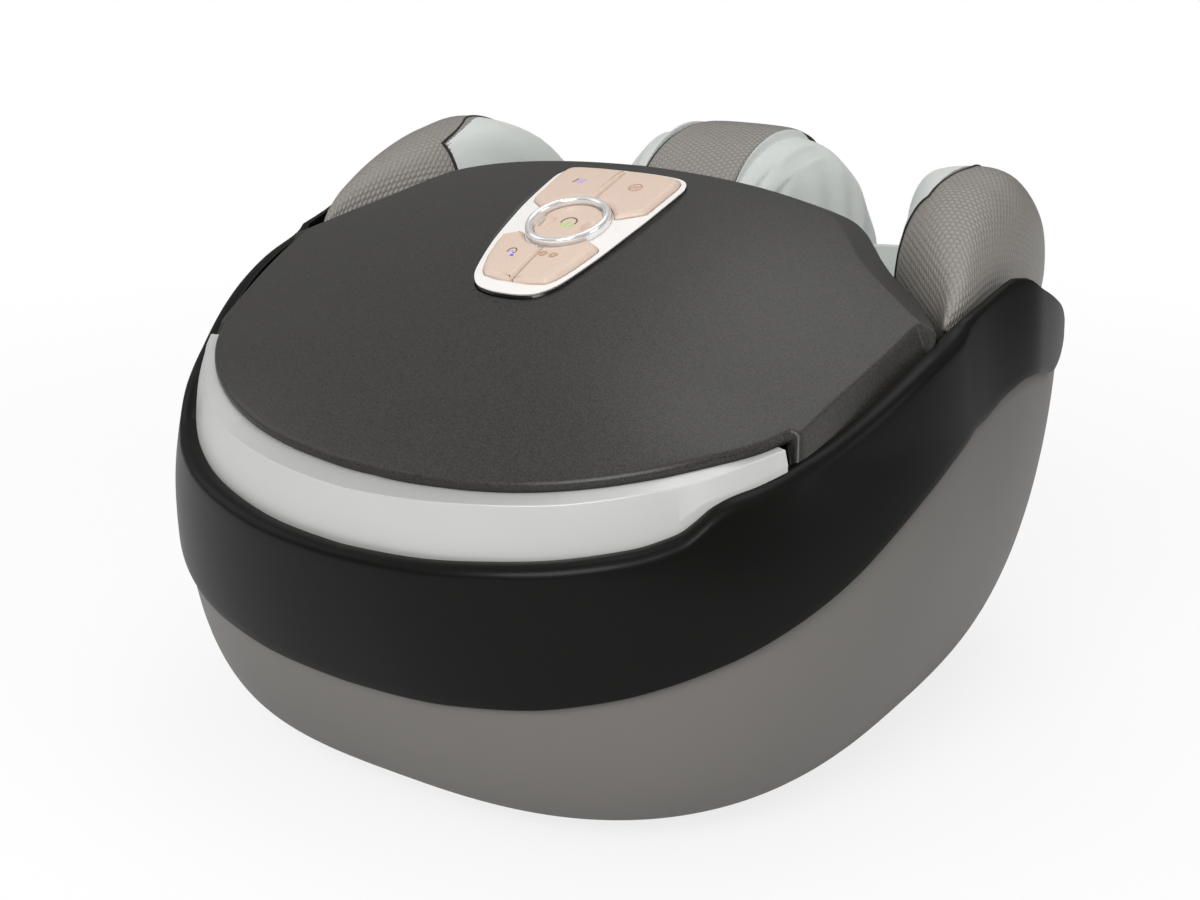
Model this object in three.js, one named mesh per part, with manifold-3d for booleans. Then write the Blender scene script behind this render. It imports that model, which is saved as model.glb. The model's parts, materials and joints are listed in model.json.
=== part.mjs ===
// A shiatsu foot massager: a domed tub with two boot-shaped foot wells, kneading discs under the soles
// and a sloping key panel on its lid. Millimetres, +Z up, the toe end towards -Y, the calf end towards +Y.
// The origin is on the floor, midway across the width and along the length.
import * as THREE from "three";
import { mergeVertices } from "three/addons/utils/BufferGeometryUtils.js";
import Module from "manifold-3d";

const wasm = await Module();
wasm.setup();

// Driving sizes: the tub
const footHeight = 8;
const shellRise = 164.5;
const bodyAxisY = -7.23;
const baseHalfWidth = 137;
const baseFrontReach = 142.8;
const baseRearReach = 182;
const sideFlare = 64;
const frontFlare = 51.2;
const rearFlare = 29;
const turnInRadius = 833;
const shellWall = 3;
const lapInset = 0.9;
const rearRimHeight = 190;

// Driving sizes: the band round the tub
const bandTop = 229.6;
const bandProud = 3.5;
const rimRadius = 5;
const rimEdgeRadius = 1.6;
const ledgeThickness = 3;
const ledgeGroove = 4.7;
const ledgeReach = 16;

// Driving sizes: the lid
const lidFrontY = -171;
const lidLength = 204;
const lidFrontHeight = 165;
const lidClimb = 94;
const lidSideDrop = 26;
const lidHalfWidth = 178;
const lidThickness = 3;
const lipInset = 5;
const lipRound = 1.2;
const lipDrop = 2.6;
const skirtLap = 1;
const collarWidth = 12;
const trimThickness = 3;
const trimRidgeInset = 8;

// Driving sizes: the key panel, in its own tilted frame
const panelCentreY = -30.4;
const panelCentreZ = 238.8;
const panelTilt = 20.5;
const panelHalfWidth = 36.6;
const panelHalfLength = 55.8;
const panelSag = 1.85;
const panelSideSag = 0.64;
const bezelProud = 1;
const bezelDepth = 6;
const keyProud = 2.4;
const keyDepth = 4;
const keyBevel = 1.2;
const keyTravel = 1.2;
const keyGap = 0.6;
const ringInner = 17;
const ringOuter = 20.6;
const ringHeight = 3.6;
const powerKeyRadius = 16.2;
const fingerDishRadius = 9;
const fingerDishDepth = 1.6;
const boardSize = new THREE.Vector2(50, 84);
const boardThickness = 1.6;
const boardDrop = 11;
const switchSize = 6;

// Driving sizes: deck, cushions and foot wells
const deckHeight = 184;
const deckThickness = 3;
const deckFrontTurn = -12;
const cushionHeight = 84;
const sidePadLength = 196;
const sidePadFrontY = -27;
const sidePadReach = 202;
const centrePadWidth = 54.4;
const centrePadLength = 132;
const centrePadFrontY = 46;
const innerCuffReach = 68;
const cuffThickness = 14;
const wellCentreX = 97;
const wellHalfWidth = 52;
const wellHeight = 92;
const wellLength = 316;
const wellToeY = -150;
const wellWall = 4;
const soleHeight = 79;
const shaftHalfWidth = 46;
const shaftHalfLength = 58;
const shaftCentreY = 106;
const shaftFoot = 112;

// Driving sizes: the kneading drive under each sole
const gearTeeth = 20;
const gearPitchRadius = 45;
const gearRoot = 3.5;
const gearTip = 2.4;
const gearThickness = 9;
const gearHeight = 40;
const spindleRadius = 5;
const rearHeadY = 15;
const headRadius = 36;
const headThickness = 6;
const headHeight = 60;
const nodeCount = 3;
const nodeOrbit = 23;
const nodeRadius = 10.5;
const nodeTop = 78;
const plateHalfWidth = 38;
const plateThickness = 4;
const basePlateHeight = 30;
const topPlateHeight = 54;
const pillarRadius = 4;
const legRadius = 5;
const motorX = 40;
const motorAxisHeight = 45;
const motorRadius = 17;
const motorFrontY = 46;
const motorLength = 60;
const motorBore = 2.4;
const motorBoreDepth = 18;
const shaftRadius = 2;
const wormRadius = 9;
const wormLength = 30;
const wormThreads = 4;
const saddleHalfWidth = 18;
const saddleLength = 32;
const saddleHeight = 30;
const shakerRadius = 12;
const shakerLength = 36;
const shakerFrontY = -50;
const shakerAxisHeight = 31;
const weightRadius = 11;
const weightThickness = 8;

// Driving sizes: base fittings and electrics
const footRadius = 12;
const footTaper = 1.5;
const screwHeadRadius = 4;
const screwHeadHeight = 2;
const screwRadius = 1.8;
const screwLength = 14;
const powerBoardSize = new THREE.Vector2(76, 50);
const powerBoardY = 138;
const powerBoardHeight = 20;
const postRadius = 3;
const transformerSize = new THREE.Vector3(26, 30, 22);
const capacitorRadius = 6;
const capacitorHeight = 17;
const inletSize = new THREE.Vector3(30, 24, 20);
const inletHeight = 60;
const inletFlange = 3;
const inletSocket = new THREE.Vector3(18, 16, 9);
const heaterSize = new THREE.Vector3(70, 62, 2);
const heaterY = 122;

// Fits
const clearance = 0.3;
const looseFit = 0.5;
const overrun = 10;

// Shares and exponents that shape the tub: growth up its sides and roundness in plan
const sideGrowthShare = 2.07;
const frontGrowthShare = 2.34;
const rearGrowthShare = 2.25;
const frontRoundShares = [2.81, -0.84];
const rearRoundShares = [2.86, 0.26];
const half = 0.5;

// Where the band's lower edge and its rim run: turn round the tub in degrees, height as a share of bandTop
const bandFootShares = [
  [-90, 0.309], [-81, 0.316], [-74.5, 0.327], [-67.2, 0.34], [-60, 0.36], [-54.6, 0.377], [-49.2, 0.398],
  [-43.8, 0.422], [-38.3, 0.449], [-32.9, 0.483], [-27.5, 0.525], [-23, 0.566], [-19.9, 0.601], [-15.2, 0.653],
  [-9.9, 0.706], [-3, 0.762], [0.6, 0.786], [2.2, 0.793], [4.4, 0.795], [8.8, 0.782], [16.8, 0.749], [22.3, 0.732],
];
const bandRimShares = [
  [-90, 0.586], [-80, 0.592], [-71, 0.605], [-63, 0.617], [-57, 0.631], [-52.3, 0.644], [-49.2, 0.657],
  [-47.4, 0.668], [-45.6, 0.688], [-43.8, 0.708], [-41.4, 0.726], [-38.3, 0.74], [-33.5, 0.769], [-30, 0.792],
  [-25.5, 0.828], [-19.4, 0.875], [-14, 0.913], [-7.5, 0.954], [-2, 0.983], [1, 0.996], [2.8, 1], [4.5, 0.992],
  [8.2, 0.958], [13.3, 0.919], [18.1, 0.882], [20.5, 0.854], [22.3, 0.82],
];
// How far the ledge inside the rim lies under the rim (share of bandTop) and reaches in (share of ledgeReach)
const ledgeDropShares = [
  [-90, 0.013], [-44, 0.013], [-37, 0.013], [-33, 0.012], [-29, 0.018], [-25, 0.031], [-20.5, 0.045], [-16.5, 0.056],
  [-12.5, 0.051], [-9.7, 0.046], [-6, 0.032], [-3, 0.02], [0, 0.012], [23, 0.012],
];
const ledgeReachShares = [
  [-90, 1], [-9.7, 1], [-7.5, 0.78], [-6, 0.58], [-4.5, 0.3], [-3, 0.05], [-2, 0.02], [23, 0.02],
];
const ledgeStrengthShares = [[-90, 1], [-7.5, 1], [-2, 0], [23, 0]];
const bandTurns = [
  -90, -82, -74, -67, -60.5, -55, -50.5, -48, -45.6, -43, -38, -33, -28, -23, -17, -12.5, -9.7, -7.5, -6, -4.5, -2, 0,
  1.2, 2.8, 4.5, 7, 10.5, 14, 18, 20.5, 22.3,
];
// The trim strip: turn, height of its lower edge and of its ridge as shares of bandTop
const trimFootShares = [
  [-90, 0.599], [-80, 0.604], [-68.5, 0.614], [-56.9, 0.636], [-51.5, 0.655], [-48.9, 0.668], [-46.6, 0.69],
  [-44.1, 0.713], [-40.7, 0.727], [-37.4, 0.744], [-34, 0.764], [-32.7, 0.775],
];
const trimRidgeShares = [
  [-90, 0.687], [-80, 0.692], [-71.3, 0.699], [-62.8, 0.707], [-56.4, 0.718], [-50, 0.732], [-46.3, 0.739],
  [-43.6, 0.748], [-38.7, 0.77], [-34.2, 0.788], [-32.7, 0.793],
];
const trimTurns = [-90, -81, -73, -66, -60, -55, -50.5, -48, -45.6, -43.2, -40, -36.5, -33.7];
// The lid's front edge: turn, inset from the tub's surface as a share of lidHalfWidth, height share of bandTop
const lidFrontShares = [
  [-90, 0.145, 0.694], [-81, 0.139, 0.696], [-73, 0.126, 0.702], [-66, 0.111, 0.712], [-60, 0.098, 0.723],
  [-54, 0.085, 0.739], [-48, 0.074, 0.758], [-43, 0.071, 0.773], [-38, 0.07, 0.792], [-32.2, 0.077, 0.81],
];
// The rest of the lid's outline: x as a share of lidHalfWidth, y as a share of lidLength behind the front,
// then how far its wall stands out (x, y as shares of collarWidth)
const lidSideShares = [
  [0.908, 0.35, 0.25, -0.55], [0.927, 0.427, 0.75, -0.1], [0.953, 0.53, 0.8, 0.08], [0.976, 0.627, 0.8, 0.1], [1, 0.716, 0.85, -0.1],
  [0.91, 0.76, 0.5, 0.87], [0.815, 0.804, 0.55, 0.85], [0.753, 0.843, 0.65, 0.78], [0.708, 0.882, 0.7, 0.72],
  [0.657, 0.926, 0.62, 0.79], [0.601, 0.956, 0.4, 0.9], [0.46, 0.978, 0.14, 0.99], [0.25, 0.991, 0.06, 1],
  [0, 1, 0, 1],
];
// How many of those points belong to the side walls that stand on the band's ledge
const sideWallPoints = 5;
const lidRingShares = [0.36, 0.7];
const lidBulgeShare = 0.44;
const lidSideExponentShares = [2.3, 1];
const lidBlendShares = [-0.373, 0.22];
const collarFallShares = [0.25, 0.42];
const shellRingShares = [0.035, 0.12, 0.27, 0.5, 0.75];
const lapRiseShare = 0.33;
const rimBlendShares = [[-90, 0], [-9.9, 0], [-0.5, 1], [90, 1]];
const lapFadeShares = [[-90, 1], [20.5, 1], [22.3, 0.9], [30, 0], [90, 0]];

// The key panel: outline points of the right half, as shares of panelHalfWidth and panelHalfLength
const bezelShares = [
  [0, 0.985], [0.41, 0.982], [0.74, 0.964], [0.9, 0.923], [0.984, 0.833], [1, 0.717], [0.957, 0.27], [0.905, 0],
  [0.82, -0.358], [0.697, -0.68], [0.6, -0.842], [0.437, -0.959], [0.22, -1.003], [0, -1.012],
];
const rearKeyShares = [
  [0.016, 0.394], [0.23, 0.364], [0.41, 0.289], [0.533, 0.183], [0.56, 0.17], [0.852, 0.296], [0.885, 0.32],
  [0.907, 0.538], [0.925, 0.78], [0.9, 0.87], [0.84, 0.918], [0.72, 0.935], [0.41, 0.947], [0.016, 0.95],
];
const frontKeyShares = [
  [0.016, -0.394], [0.23, -0.364], [0.41, -0.289], [0.511, -0.21], [0.715, -0.275], [0.752, -0.31],
  [0.732, -0.394], [0.656, -0.609], [0.56, -0.771], [0.465, -0.839], [0.246, -0.869], [0.016, -0.878],
];

// Sections of the cushions along their length. Side pad: place along it, inner edge, outer edge (shares of
// sidePadReach), bottom and top (shares of cushionHeight above the deck)
const sidePadShares = [
  [0, 0.929, 0.938, 0.365, 0.385], [0.045, 0.903, 0.957, 0.27, 0.47], [0.11, 0.857, 0.972, 0.14, 0.65],
  [0.19, 0.79, 0.978, 0.03, 0.81], [0.29, 0.712, 0.978, 0, 0.94], [0.415, 0.663, 0.971, 0, 1],
  [0.57, 0.621, 0.95, 0, 0.95], [0.72, 0.6, 0.89, 0, 0.8], [0.865, 0.6, 0.8, 0, 0.56],
  [0.96, 0.624, 0.73, 0, 0.32], [1, 0.655, 0.7, 0, 0.16],
];
// One section of a side pad: across it from the inner edge, and up it
const padSectionShares = [
  [0.3, 0], [0.12, 0.06], [0, 0.33], [0.07, 0.66], [0.24, 0.92], [0.5, 1], [0.75, 0.93], [0.94, 0.68], [1, 0.38],
  [0.95, 0.1], [0.86, 0],
];
// Centre pad seen from the side: along its length and up
const centrePadShares = [
  [0.02, 0], [0, 0.3], [0.03, 0.6], [0.12, 0.8], [0.26, 0.93], [0.42, 0.99], [0.52, 1], [0.64, 0.975],
  [0.77, 0.88], [0.88, 0.7], [0.96, 0.45], [1, 0.18], [0.985, 0],
];
const centrePadCrownShares = [[-1, 0.955], [-0.93, 0.985], [-0.6, 0.995], [0, 1], [0.6, 0.995], [0.93, 0.985], [1, 0.955]];
// White cuff beside the centre pad: place along the pad, reach out and height
const innerCuffShares = [
  [0.04, 0.62, 0.52], [0.1, 0.78, 0.72], [0.22, 0.92, 0.88], [0.38, 1, 0.965], [0.54, 1, 0.965], [0.68, 0.99, 0.89],
  [0.8, 0.95, 0.72], [0.88, 0.84, 0.46], [0.92, 0.72, 0.26],
];
const innerCuffSectionShares = [
  [0, 0], [0.52, 0], [0.72, 0.1], [0.92, 0.3], [1, 0.52], [0.93, 0.72], [0.72, 0.9], [0.4, 0.985], [0.12, 1], [0, 0.97],
];
// White cuff inside a side pad: places along the pad, each with the cuff's fullness there
const outerCuffSpanShares = [[0.37, 0.2], [0.43, 0.75], [0.53, 1], [0.686, 1], [0.8, 0.75], [0.87, 0.25]];
const outerCuffBaseShare = 0.16;
// Foot well: place along it, width and height of its section
const wellShares = [
  [0.006, 0.38, 0.36], [0.03, 0.64, 0.6], [0.08, 0.84, 0.82], [0.17, 0.97, 0.95], [0.34, 1, 1], [0.84, 1, 1],
  [0.96, 0.86, 0.88], [0.995, 0.6, 0.64],
];
const wellRoundShare = 3.2;
const wellSides = 16;
const shaftRoundShare = 2.6;
const shaftSides = 18;
const toothShares = [0.315, 0.12];
const plateRoundShare = 0.6;

// Geometry helpers: signed volume decides which way the faces turn
function facingOut(geometry) {
  const place = geometry.getAttribute("position");
  const index = geometry.getIndex();
  const corners = [0, 1, 2].map(() => new THREE.Vector3());
  let sixfold = 0;
  for (let i = 0; i < index.count; i += corners.length) {
    corners.forEach((corner, k) => corner.fromBufferAttribute(place, index.getX(i + k)));
    sixfold += corners[0].dot(corners[1].clone().cross(corners[2]));
  }
  if (sixfold < 0) {
    for (let i = 0; i < index.count; i += corners.length) {
      const kept = index.getX(i + 1);
      index.setX(i + 1, index.getX(i + 2));
      index.setX(i + 2, kept);
    }
  }
  return geometry;
}

function fromTriangles(points, triangles) {
  const geometry = new THREE.BufferGeometry().setFromPoints(points);
  geometry.setIndex(triangles);
  return facingOut(geometry);
}

function welded(geometry) {
  const copy = geometry.clone();
  copy.deleteAttribute("normal");
  copy.deleteAttribute("uv");
  return facingOut(mergeVertices(copy, 1e-4));
}

function toSolid(geometry) {
  const clean = welded(geometry);
  const vertProperties = new Float32Array(clean.getAttribute("position").array);
  const triVerts = new Uint32Array(clean.getIndex().array);
  return new wasm.Manifold(new wasm.Mesh({ numProp: 3, vertProperties, triVerts }));
}

function fromSolid(made) {
  const mesh = made.getMesh();
  const geometry = new THREE.BufferGeometry();
  geometry.setAttribute("position", new THREE.BufferAttribute(new Float32Array(mesh.vertProperties), 3));
  geometry.setIndex(new THREE.BufferAttribute(new Uint32Array(mesh.triVerts), 1));
  return geometry;
}

function joined(...geometries) {
  return fromSolid(geometries.map(toSolid).reduce((all, next) => all.add(next)));
}

function cut(geometry, ...tools) {
  return fromSolid(tools.map(toSolid).reduce((all, next) => all.subtract(next), toSolid(geometry)));
}

function mirrored(geometry) {
  const copy = welded(geometry);
  copy.scale(-1, 1, 1);
  return facingOut(copy);
}

// A skin through rings of equal count, closed at each end by a centre point or by a flat face
function skin(rings, startPoint, endPoint) {
  const points = rings.flat();
  const count = rings[0].length;
  const triangles = [];
  for (let r = 0; r + 1 < rings.length; r += 1) {
    for (let k = 0; k < count; k += 1) {
      const next = (k + 1) % count;
      const low = r * count;
      const high = low + count;
      triangles.push(low + k, low + next, high + next, low + k, high + next, high + k);
    }
  }
  const close = (start, ring, centre, reversed) => {
    const face = [];
    if (centre) {
      points.push(centre);
      for (let k = 0; k < count; k += 1) face.push([start + k, points.length - 1, start + ((k + 1) % count)]);
    } else {
      const middle = ring.reduce((sum, p) => sum.add(p), new THREE.Vector3()).divideScalar(count);
      const normal = new THREE.Vector3();
      ring.forEach((p, k) => normal.add(p.clone().sub(middle).cross(ring[(k + 1) % count].clone().sub(middle))));
      normal.normalize();
      const across = ring[0].clone().sub(middle).projectOnPlane(normal).normalize();
      const up = normal.clone().cross(across);
      const flat = ring.map((p) => new THREE.Vector2(p.clone().sub(middle).dot(across), p.clone().sub(middle).dot(up)));
      THREE.ShapeUtils.triangulateShape(flat, []).forEach(([a, b, c]) => face.push([start + a, start + c, start + b]));
    }
    face.forEach(([a, b, c]) => triangles.push(...(reversed ? [a, c, b] : [a, b, c])));
  };
  close(0, rings[0], startPoint, false);
  close((rings.length - 1) * count, rings.at(-1), endPoint, true);
  return fromTriangles(points, triangles);
}

// Smooth value at x in a table of [x, value] rows
function along(table, x, column = 1) {
  if (x <= table[0][0]) return table[0][column];
  if (x >= table.at(-1)[0]) return table.at(-1)[column];
  const i = table.findIndex((row) => row[0] > x) - 1;
  const slope = (a, b) => (b[column] - a[column]) / (b[0] - a[0]);
  const middle = slope(table[i], table[i + 1]);
  const ease = (a, b) => (a * b <= 0 ? 0 : (2 * a * b) / (a + b));
  const first = i > 0 ? ease(slope(table[i - 1], table[i]), middle) : middle;
  const last = i + 2 < table.length ? ease(middle, slope(table[i + 1], table[i + 2])) : middle;
  const width = table[i + 1][0] - table[i][0];
  const t = (x - table[i][0]) / width;
  const [a, b] = [table[i][column], table[i + 1][column]];
  return (
    (1 + 2 * t) * (1 - t) ** 2 * a + t * (1 - t) ** 2 * width * first +
    t ** 2 * (3 - 2 * t) * b + t ** 2 * (t - 1) * width * last
  );
}

// The same table read round the whole tub: turn 90 degrees is the middle of the back
const folded = (turn) => (turn > 90 ? 180 - turn : turn < -90 ? -180 - turn : turn);
const bothSides = (turns) => [...turns.map((t) => -180 - t).reverse(), ...turns.slice(1)].sort((a, b) => a - b);

// The tub's outer surface: a point at a turn and a height, moved out by an offset
function tubPoint(turn, height, out = 0) {
  const level = THREE.MathUtils.clamp((height - footHeight) / shellRise, 0, 1);
  const grown = (share) => (1 - (1 - level) ** share) ** (1 / share);
  const above = Math.max(height - footHeight - shellRise, 0);
  const angle = THREE.MathUtils.degToRad(turn);
  const [c, s] = [Math.cos(angle), Math.sin(angle)];
  const shares = s < 0 ? frontRoundShares : rearRoundShares;
  const power = 2 / (shares[0] + shares[1] * level);
  const reachX = baseHalfWidth + sideFlare * grown(sideGrowthShare) - above ** 2 / turnInRadius + out;
  const reachY =
    s < 0
      ? baseFrontReach + frontFlare * grown(frontGrowthShare) + out
      : baseRearReach + rearFlare * grown(rearGrowthShare) + out;
  const x = Math.abs(c) < 1e-9 ? 0 : reachX * Math.sign(c) * Math.abs(c) ** power;
  const y = Math.abs(s) < 1e-9 ? 0 : reachY * Math.sign(s) * Math.abs(s) ** power;
  return new THREE.Vector3(x, bodyAxisY + y, height);
}

const bandFoot = (turn) => bandTop * along(bandFootShares, folded(turn));
const bandRim = (turn) => bandTop * along(bandRimShares, folded(turn));
const ledgeHeight = (turn) => bandRim(turn) - bandTop * along(ledgeDropShares, folded(turn));

// Lid surface
function lidHeight(x, y) {
  const v = (y - lidFrontY) / lidLength;
  const rise = v + lidBulgeShare * v * (1 - v);
  const [exponent, more] = lidSideExponentShares;
  const [blendEnd, blendSpan] = lidBlendShares;
  const front = THREE.MathUtils.smoothstep(-(v + blendEnd) / blendSpan, 0, 1);
  const drop = lidSideDrop * (Math.abs(x) / lidHalfWidth) ** (exponent + more * front);
  return lidFrontHeight + lidClimb * rise - drop;
}

const circlePoints = (radius, count, start = 0) =>
  Array.from({ length: count }, (_, k) => {
    const angle = start + (2 * Math.PI * k) / count;
    return new THREE.Vector2(radius * Math.cos(angle), radius * Math.sin(angle));
  });

function superOval(halfX, halfY, power, count) {
  return Array.from({ length: count }, (_, k) => {
    const angle = (2 * Math.PI * (k + half)) / count;
    const [c, s] = [Math.cos(angle), Math.sin(angle)];
    return new THREE.Vector2(
      halfX * Math.sign(c) * Math.abs(c) ** (2 / power),
      halfY * Math.sign(s) * Math.abs(s) ** (2 / power),
    );
  });
}

// A drawn outline moved outwards by a distance
function widened(outline, distance) {
  const turnsLeft = THREE.ShapeUtils.area(outline) > 0 ? 1 : -1;
  return outline.map((p, k) => {
    const before = outline[(k + outline.length - 1) % outline.length];
    const after = outline[(k + 1) % outline.length];
    const a = p.clone().sub(before).normalize();
    const b = after.clone().sub(p).normalize();
    const normal = new THREE.Vector2(a.y + b.y, -a.x - b.x).normalize();
    const stretch = Math.max(normal.x * a.y - normal.y * a.x, half);
    return p.clone().addScaledVector(normal, (turnsLeft * distance) / stretch);
  });
}

function slab(outline, height, holes = []) {
  const plate = new THREE.ExtrudeGeometry(new THREE.Shape(outline), { depth: height, bevelEnabled: false, steps: 1 });
  const tools = holes.map((hole) => slab(hole, height + 2 * overrun).translate(0, 0, -overrun));
  return tools.length ? cut(plate, ...tools) : plate;
}

function rod(radius, length, sides = 16) {
  return new THREE.CylinderGeometry(radius, radius, length, sides).rotateX(Math.PI / 2).translate(0, 0, length / 2);
}

const turned = (profile, sides) =>
  new THREE.LatheGeometry(profile.map(([r, z]) => new THREE.Vector2(r, z)), sides).rotateX(Math.PI / 2);

const massager = new THREE.Group();
massager.name = "shiatsu_foot_massager";

const finish = (color, roughness, metalness = 0) => new THREE.MeshStandardMaterial({ color, roughness, metalness });
const greyPlastic = finish(0x6f6e69, 0.45);
const blackPlastic = finish(0x272624, 0.38);
const lidPlastic = finish(0x3c3b3a, 0.4, 0.3);
const silverPlastic = finish(0xc8c8c8, 0.35, 0.2);
const whitePlastic = finish(0xe8e5e2, 0.4);
const rosePlastic = finish(0xdcc3b2, 0.4);
const chromePlate = finish(0xd8d8d8, 0.15, 1);
const taupeLeather = finish(0x8f8a84, 0.6);
const whiteFabric = finish(0xd5dad6, 0.95);
const blackRubber = finish(0x1b1b1b, 0.9);
const steel = finish(0x9a9c9e, 0.3, 1);
const ivoryNylon = finish(0xe3ddcc, 0.55);
const darkNylon = finish(0x4a4c50, 0.6);
const boardGreen = finish(0x2f5d3a, 0.6);
const heaterFilm = finish(0xb5793f, 0.5);

function add(name, geometry, material, parent = massager) {
  const mesh = new THREE.Mesh(welded(geometry), material);
  mesh.name = name;
  parent.add(mesh);
  return mesh;
}

function addPair(name, geometry, material) {
  add("right_" + name, geometry, material);
  add("left_" + name, mirrored(geometry), material);
}

// Lower shell: a bowl with a flat base, its rim hidden behind the band and standing free at the back
function shellRim(turn) {
  const behindBand = bandFoot(turn) + lapRiseShare * (bandRim(turn) - bandFoot(turn));
  return THREE.MathUtils.lerp(behindBand, rearRimHeight, along(rimBlendShares, folded(turn)));
}
const rearTurns = [30, 38, 47, 57, 68, 79];
const shellTurns = [
  ...bothSides(bandTurns.filter((_, k) => k % 2 === 0)),
  ...rearTurns,
  90,
  ...rearTurns.map((turn) => 180 - turn).reverse(),
];
const lapDepth = (turn) => -lapInset * along(lapFadeShares, folded(turn));
const lapFoot = (turn) => bandFoot(turn) + lapInset;
const levelOnWall = (turn, share) => footHeight + share * (bandFoot(turn) - footHeight);
const outerShell = [
  ...[0, ...shellRingShares, 1].map((share) => shellTurns.map((turn) => tubPoint(turn, levelOnWall(turn, share)))),
  shellTurns.map((turn) => tubPoint(turn, lapFoot(turn), lapDepth(turn))),
  shellTurns.map((turn) => tubPoint(turn, shellRim(turn), lapDepth(turn))),
];
const innerWall = (turn, height, lap) => tubPoint(turn, height - shellWall, lap - shellWall).setZ(height);
const innerShell = [
  shellTurns.map((turn) => tubPoint(turn, shellRim(turn), lapDepth(turn) - shellWall)),
  shellTurns.map((turn) => tubPoint(turn, lapFoot(turn), lapDepth(turn) - shellWall)),
  ...[...[0, ...shellRingShares]].reverse().map((share) =>
    shellTurns.map((turn) => {
      const low = footHeight + shellWall;
      return innerWall(turn, low + share * (bandFoot(turn) - low), 0);
    }),
  ),
];
const shellBody = skin(
  [...outerShell, ...innerShell],
  new THREE.Vector3(0, bodyAxisY, footHeight),
  new THREE.Vector3(0, bodyAxisY, footHeight + shellWall),
);
const floorHeight = footHeight + shellWall;

// Bores and posts in the shell's base, and the cut for the mains inlet in its back
const headPitch = 2 * gearPitchRadius;
const frontHeadY = rearHeadY - headPitch;
const legPlaces = [
  [wellCentreX - legRadius * 2.4, rearHeadY - headPitch - legRadius * 2.6],
  [wellCentreX + legRadius * 2.4, rearHeadY - headPitch - legRadius * 2.6],
  [wellCentreX - legRadius * 4.8, rearHeadY + headRadius + legRadius],
  [wellCentreX + legRadius * 4.8, rearHeadY + headRadius + legRadius],
];
const screwedLegs = [legPlaces[1], legPlaces[3]];
const inletY = tubPoint(90, inletHeight).y;
const screwBores = screwedLegs.flatMap(([x, y]) =>
  [x, -x].map((side) => rod(screwRadius + clearance, shellWall + 2 * overrun, 8).translate(side, y, footHeight - overrun)),
);
const postHeight = powerBoardHeight - clearance - floorHeight;
const postPlaces = [-1, 1].flatMap((a) =>
  [-1, 1].map((b) => [a * (powerBoardSize.x / 2 - 2 * postRadius), powerBoardY + b * (powerBoardSize.y / 2 - 2 * postRadius)]),
);
const posts = postPlaces.map(([x, y]) => rod(postRadius, postHeight + shellWall / 2, 10).translate(x, y, floorHeight - shellWall / 2));
const inletCut = new THREE.BoxGeometry(inletSize.x + 2 * clearance, 2 * inletSize.y, inletSize.z + 2 * clearance).translate(
  0,
  inletY,
  inletHeight,
);
add("lower_shell", cut(joined(shellBody, ...posts), ...screwBores, inletCut), greyPlastic);

// Band: an outer wall, a rounded rim and a ledge inside it that carries the trim and the lid
function bandSection(turn) {
  const foot = bandFoot(turn);
  const rim = bandRim(turn);
  const strength = along(ledgeStrengthShares, folded(turn));
  const radius = THREE.MathUtils.lerp(rimEdgeRadius, rimRadius, strength);
  const reach = -ledgeReach * along(ledgeReachShares, folded(turn));
  const ledge = ledgeHeight(turn);
  const mix = (plain, full) => THREE.MathUtils.lerp(plain, full, strength);
  const bend = (1 - Math.SQRT1_2) * radius;
  const inner = clearance;
  const place = (out, height) => tubPoint(turn, height, out);
  return [
    place(inner, foot),
    place(bandProud, foot),
    place(bandProud, foot + half * (rim - radius - foot)),
    place(bandProud, rim - radius),
    place(bandProud - bend, rim - bend),
    place(bandProud - radius, rim),
    place(mix(inner + rimEdgeRadius / 3, -ledgeGroove), rim - mix(rimEdgeRadius / 3, clearance)),
    place(mix(inner, -ledgeGroove - clearance), mix(rim - rimEdgeRadius, ledge)),
    place(mix(inner, reach), mix(rim - rimEdgeRadius - 1 * rimEdgeRadius, ledge)),
    place(mix(inner, reach), mix(rim - 3 * rimEdgeRadius, ledge - ledgeThickness)),
    place(mix(inner, bandProud - radius - rimEdgeRadius), mix(rim - 4 * rimEdgeRadius, ledge - ledgeThickness)),
    place(inner, mix(rim - 5 * rimEdgeRadius, ledge - 2 * ledgeThickness)),
    place(inner, foot + half * (rim - 5 * rimEdgeRadius - foot)),
  ];
}
add("mid_band", skin(bothSides(bandTurns).map(bandSection)), blackPlastic);

// Lid outline, from the front centre round the right side to the back centre
const lidFront = lidFrontShares.map(([turn, inset, height]) => {
  const point = tubPoint(turn, height * bandTop, -inset * lidHalfWidth);
  return { at: new THREE.Vector2(point.x, point.y), turn, kind: "front", wall: new THREE.Vector2(0, 0) };
});
const lidRest = lidSideShares.map(([x, y, outX, outY], k) => ({
  at: new THREE.Vector2(x * lidHalfWidth, lidFrontY + y * lidLength),
  kind: k < sideWallPoints ? "side" : "back",
  wall: new THREE.Vector2(outX * collarWidth, outY * collarWidth),
}));
const lidHalf = [...lidFront, ...lidRest];
const lidOutline = [
  ...lidHalf,
  ...lidHalf
    .slice(1, -1)
    .reverse()
    .map((p) => ({ ...p, at: new THREE.Vector2(-p.at.x, p.at.y), wall: new THREE.Vector2(-p.wall.x, p.wall.y) })),
];
const lidMiddle = new THREE.Vector2(0, lidFrontY + lidLength * half);
const deckTop = deckHeight + deckThickness;
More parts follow.
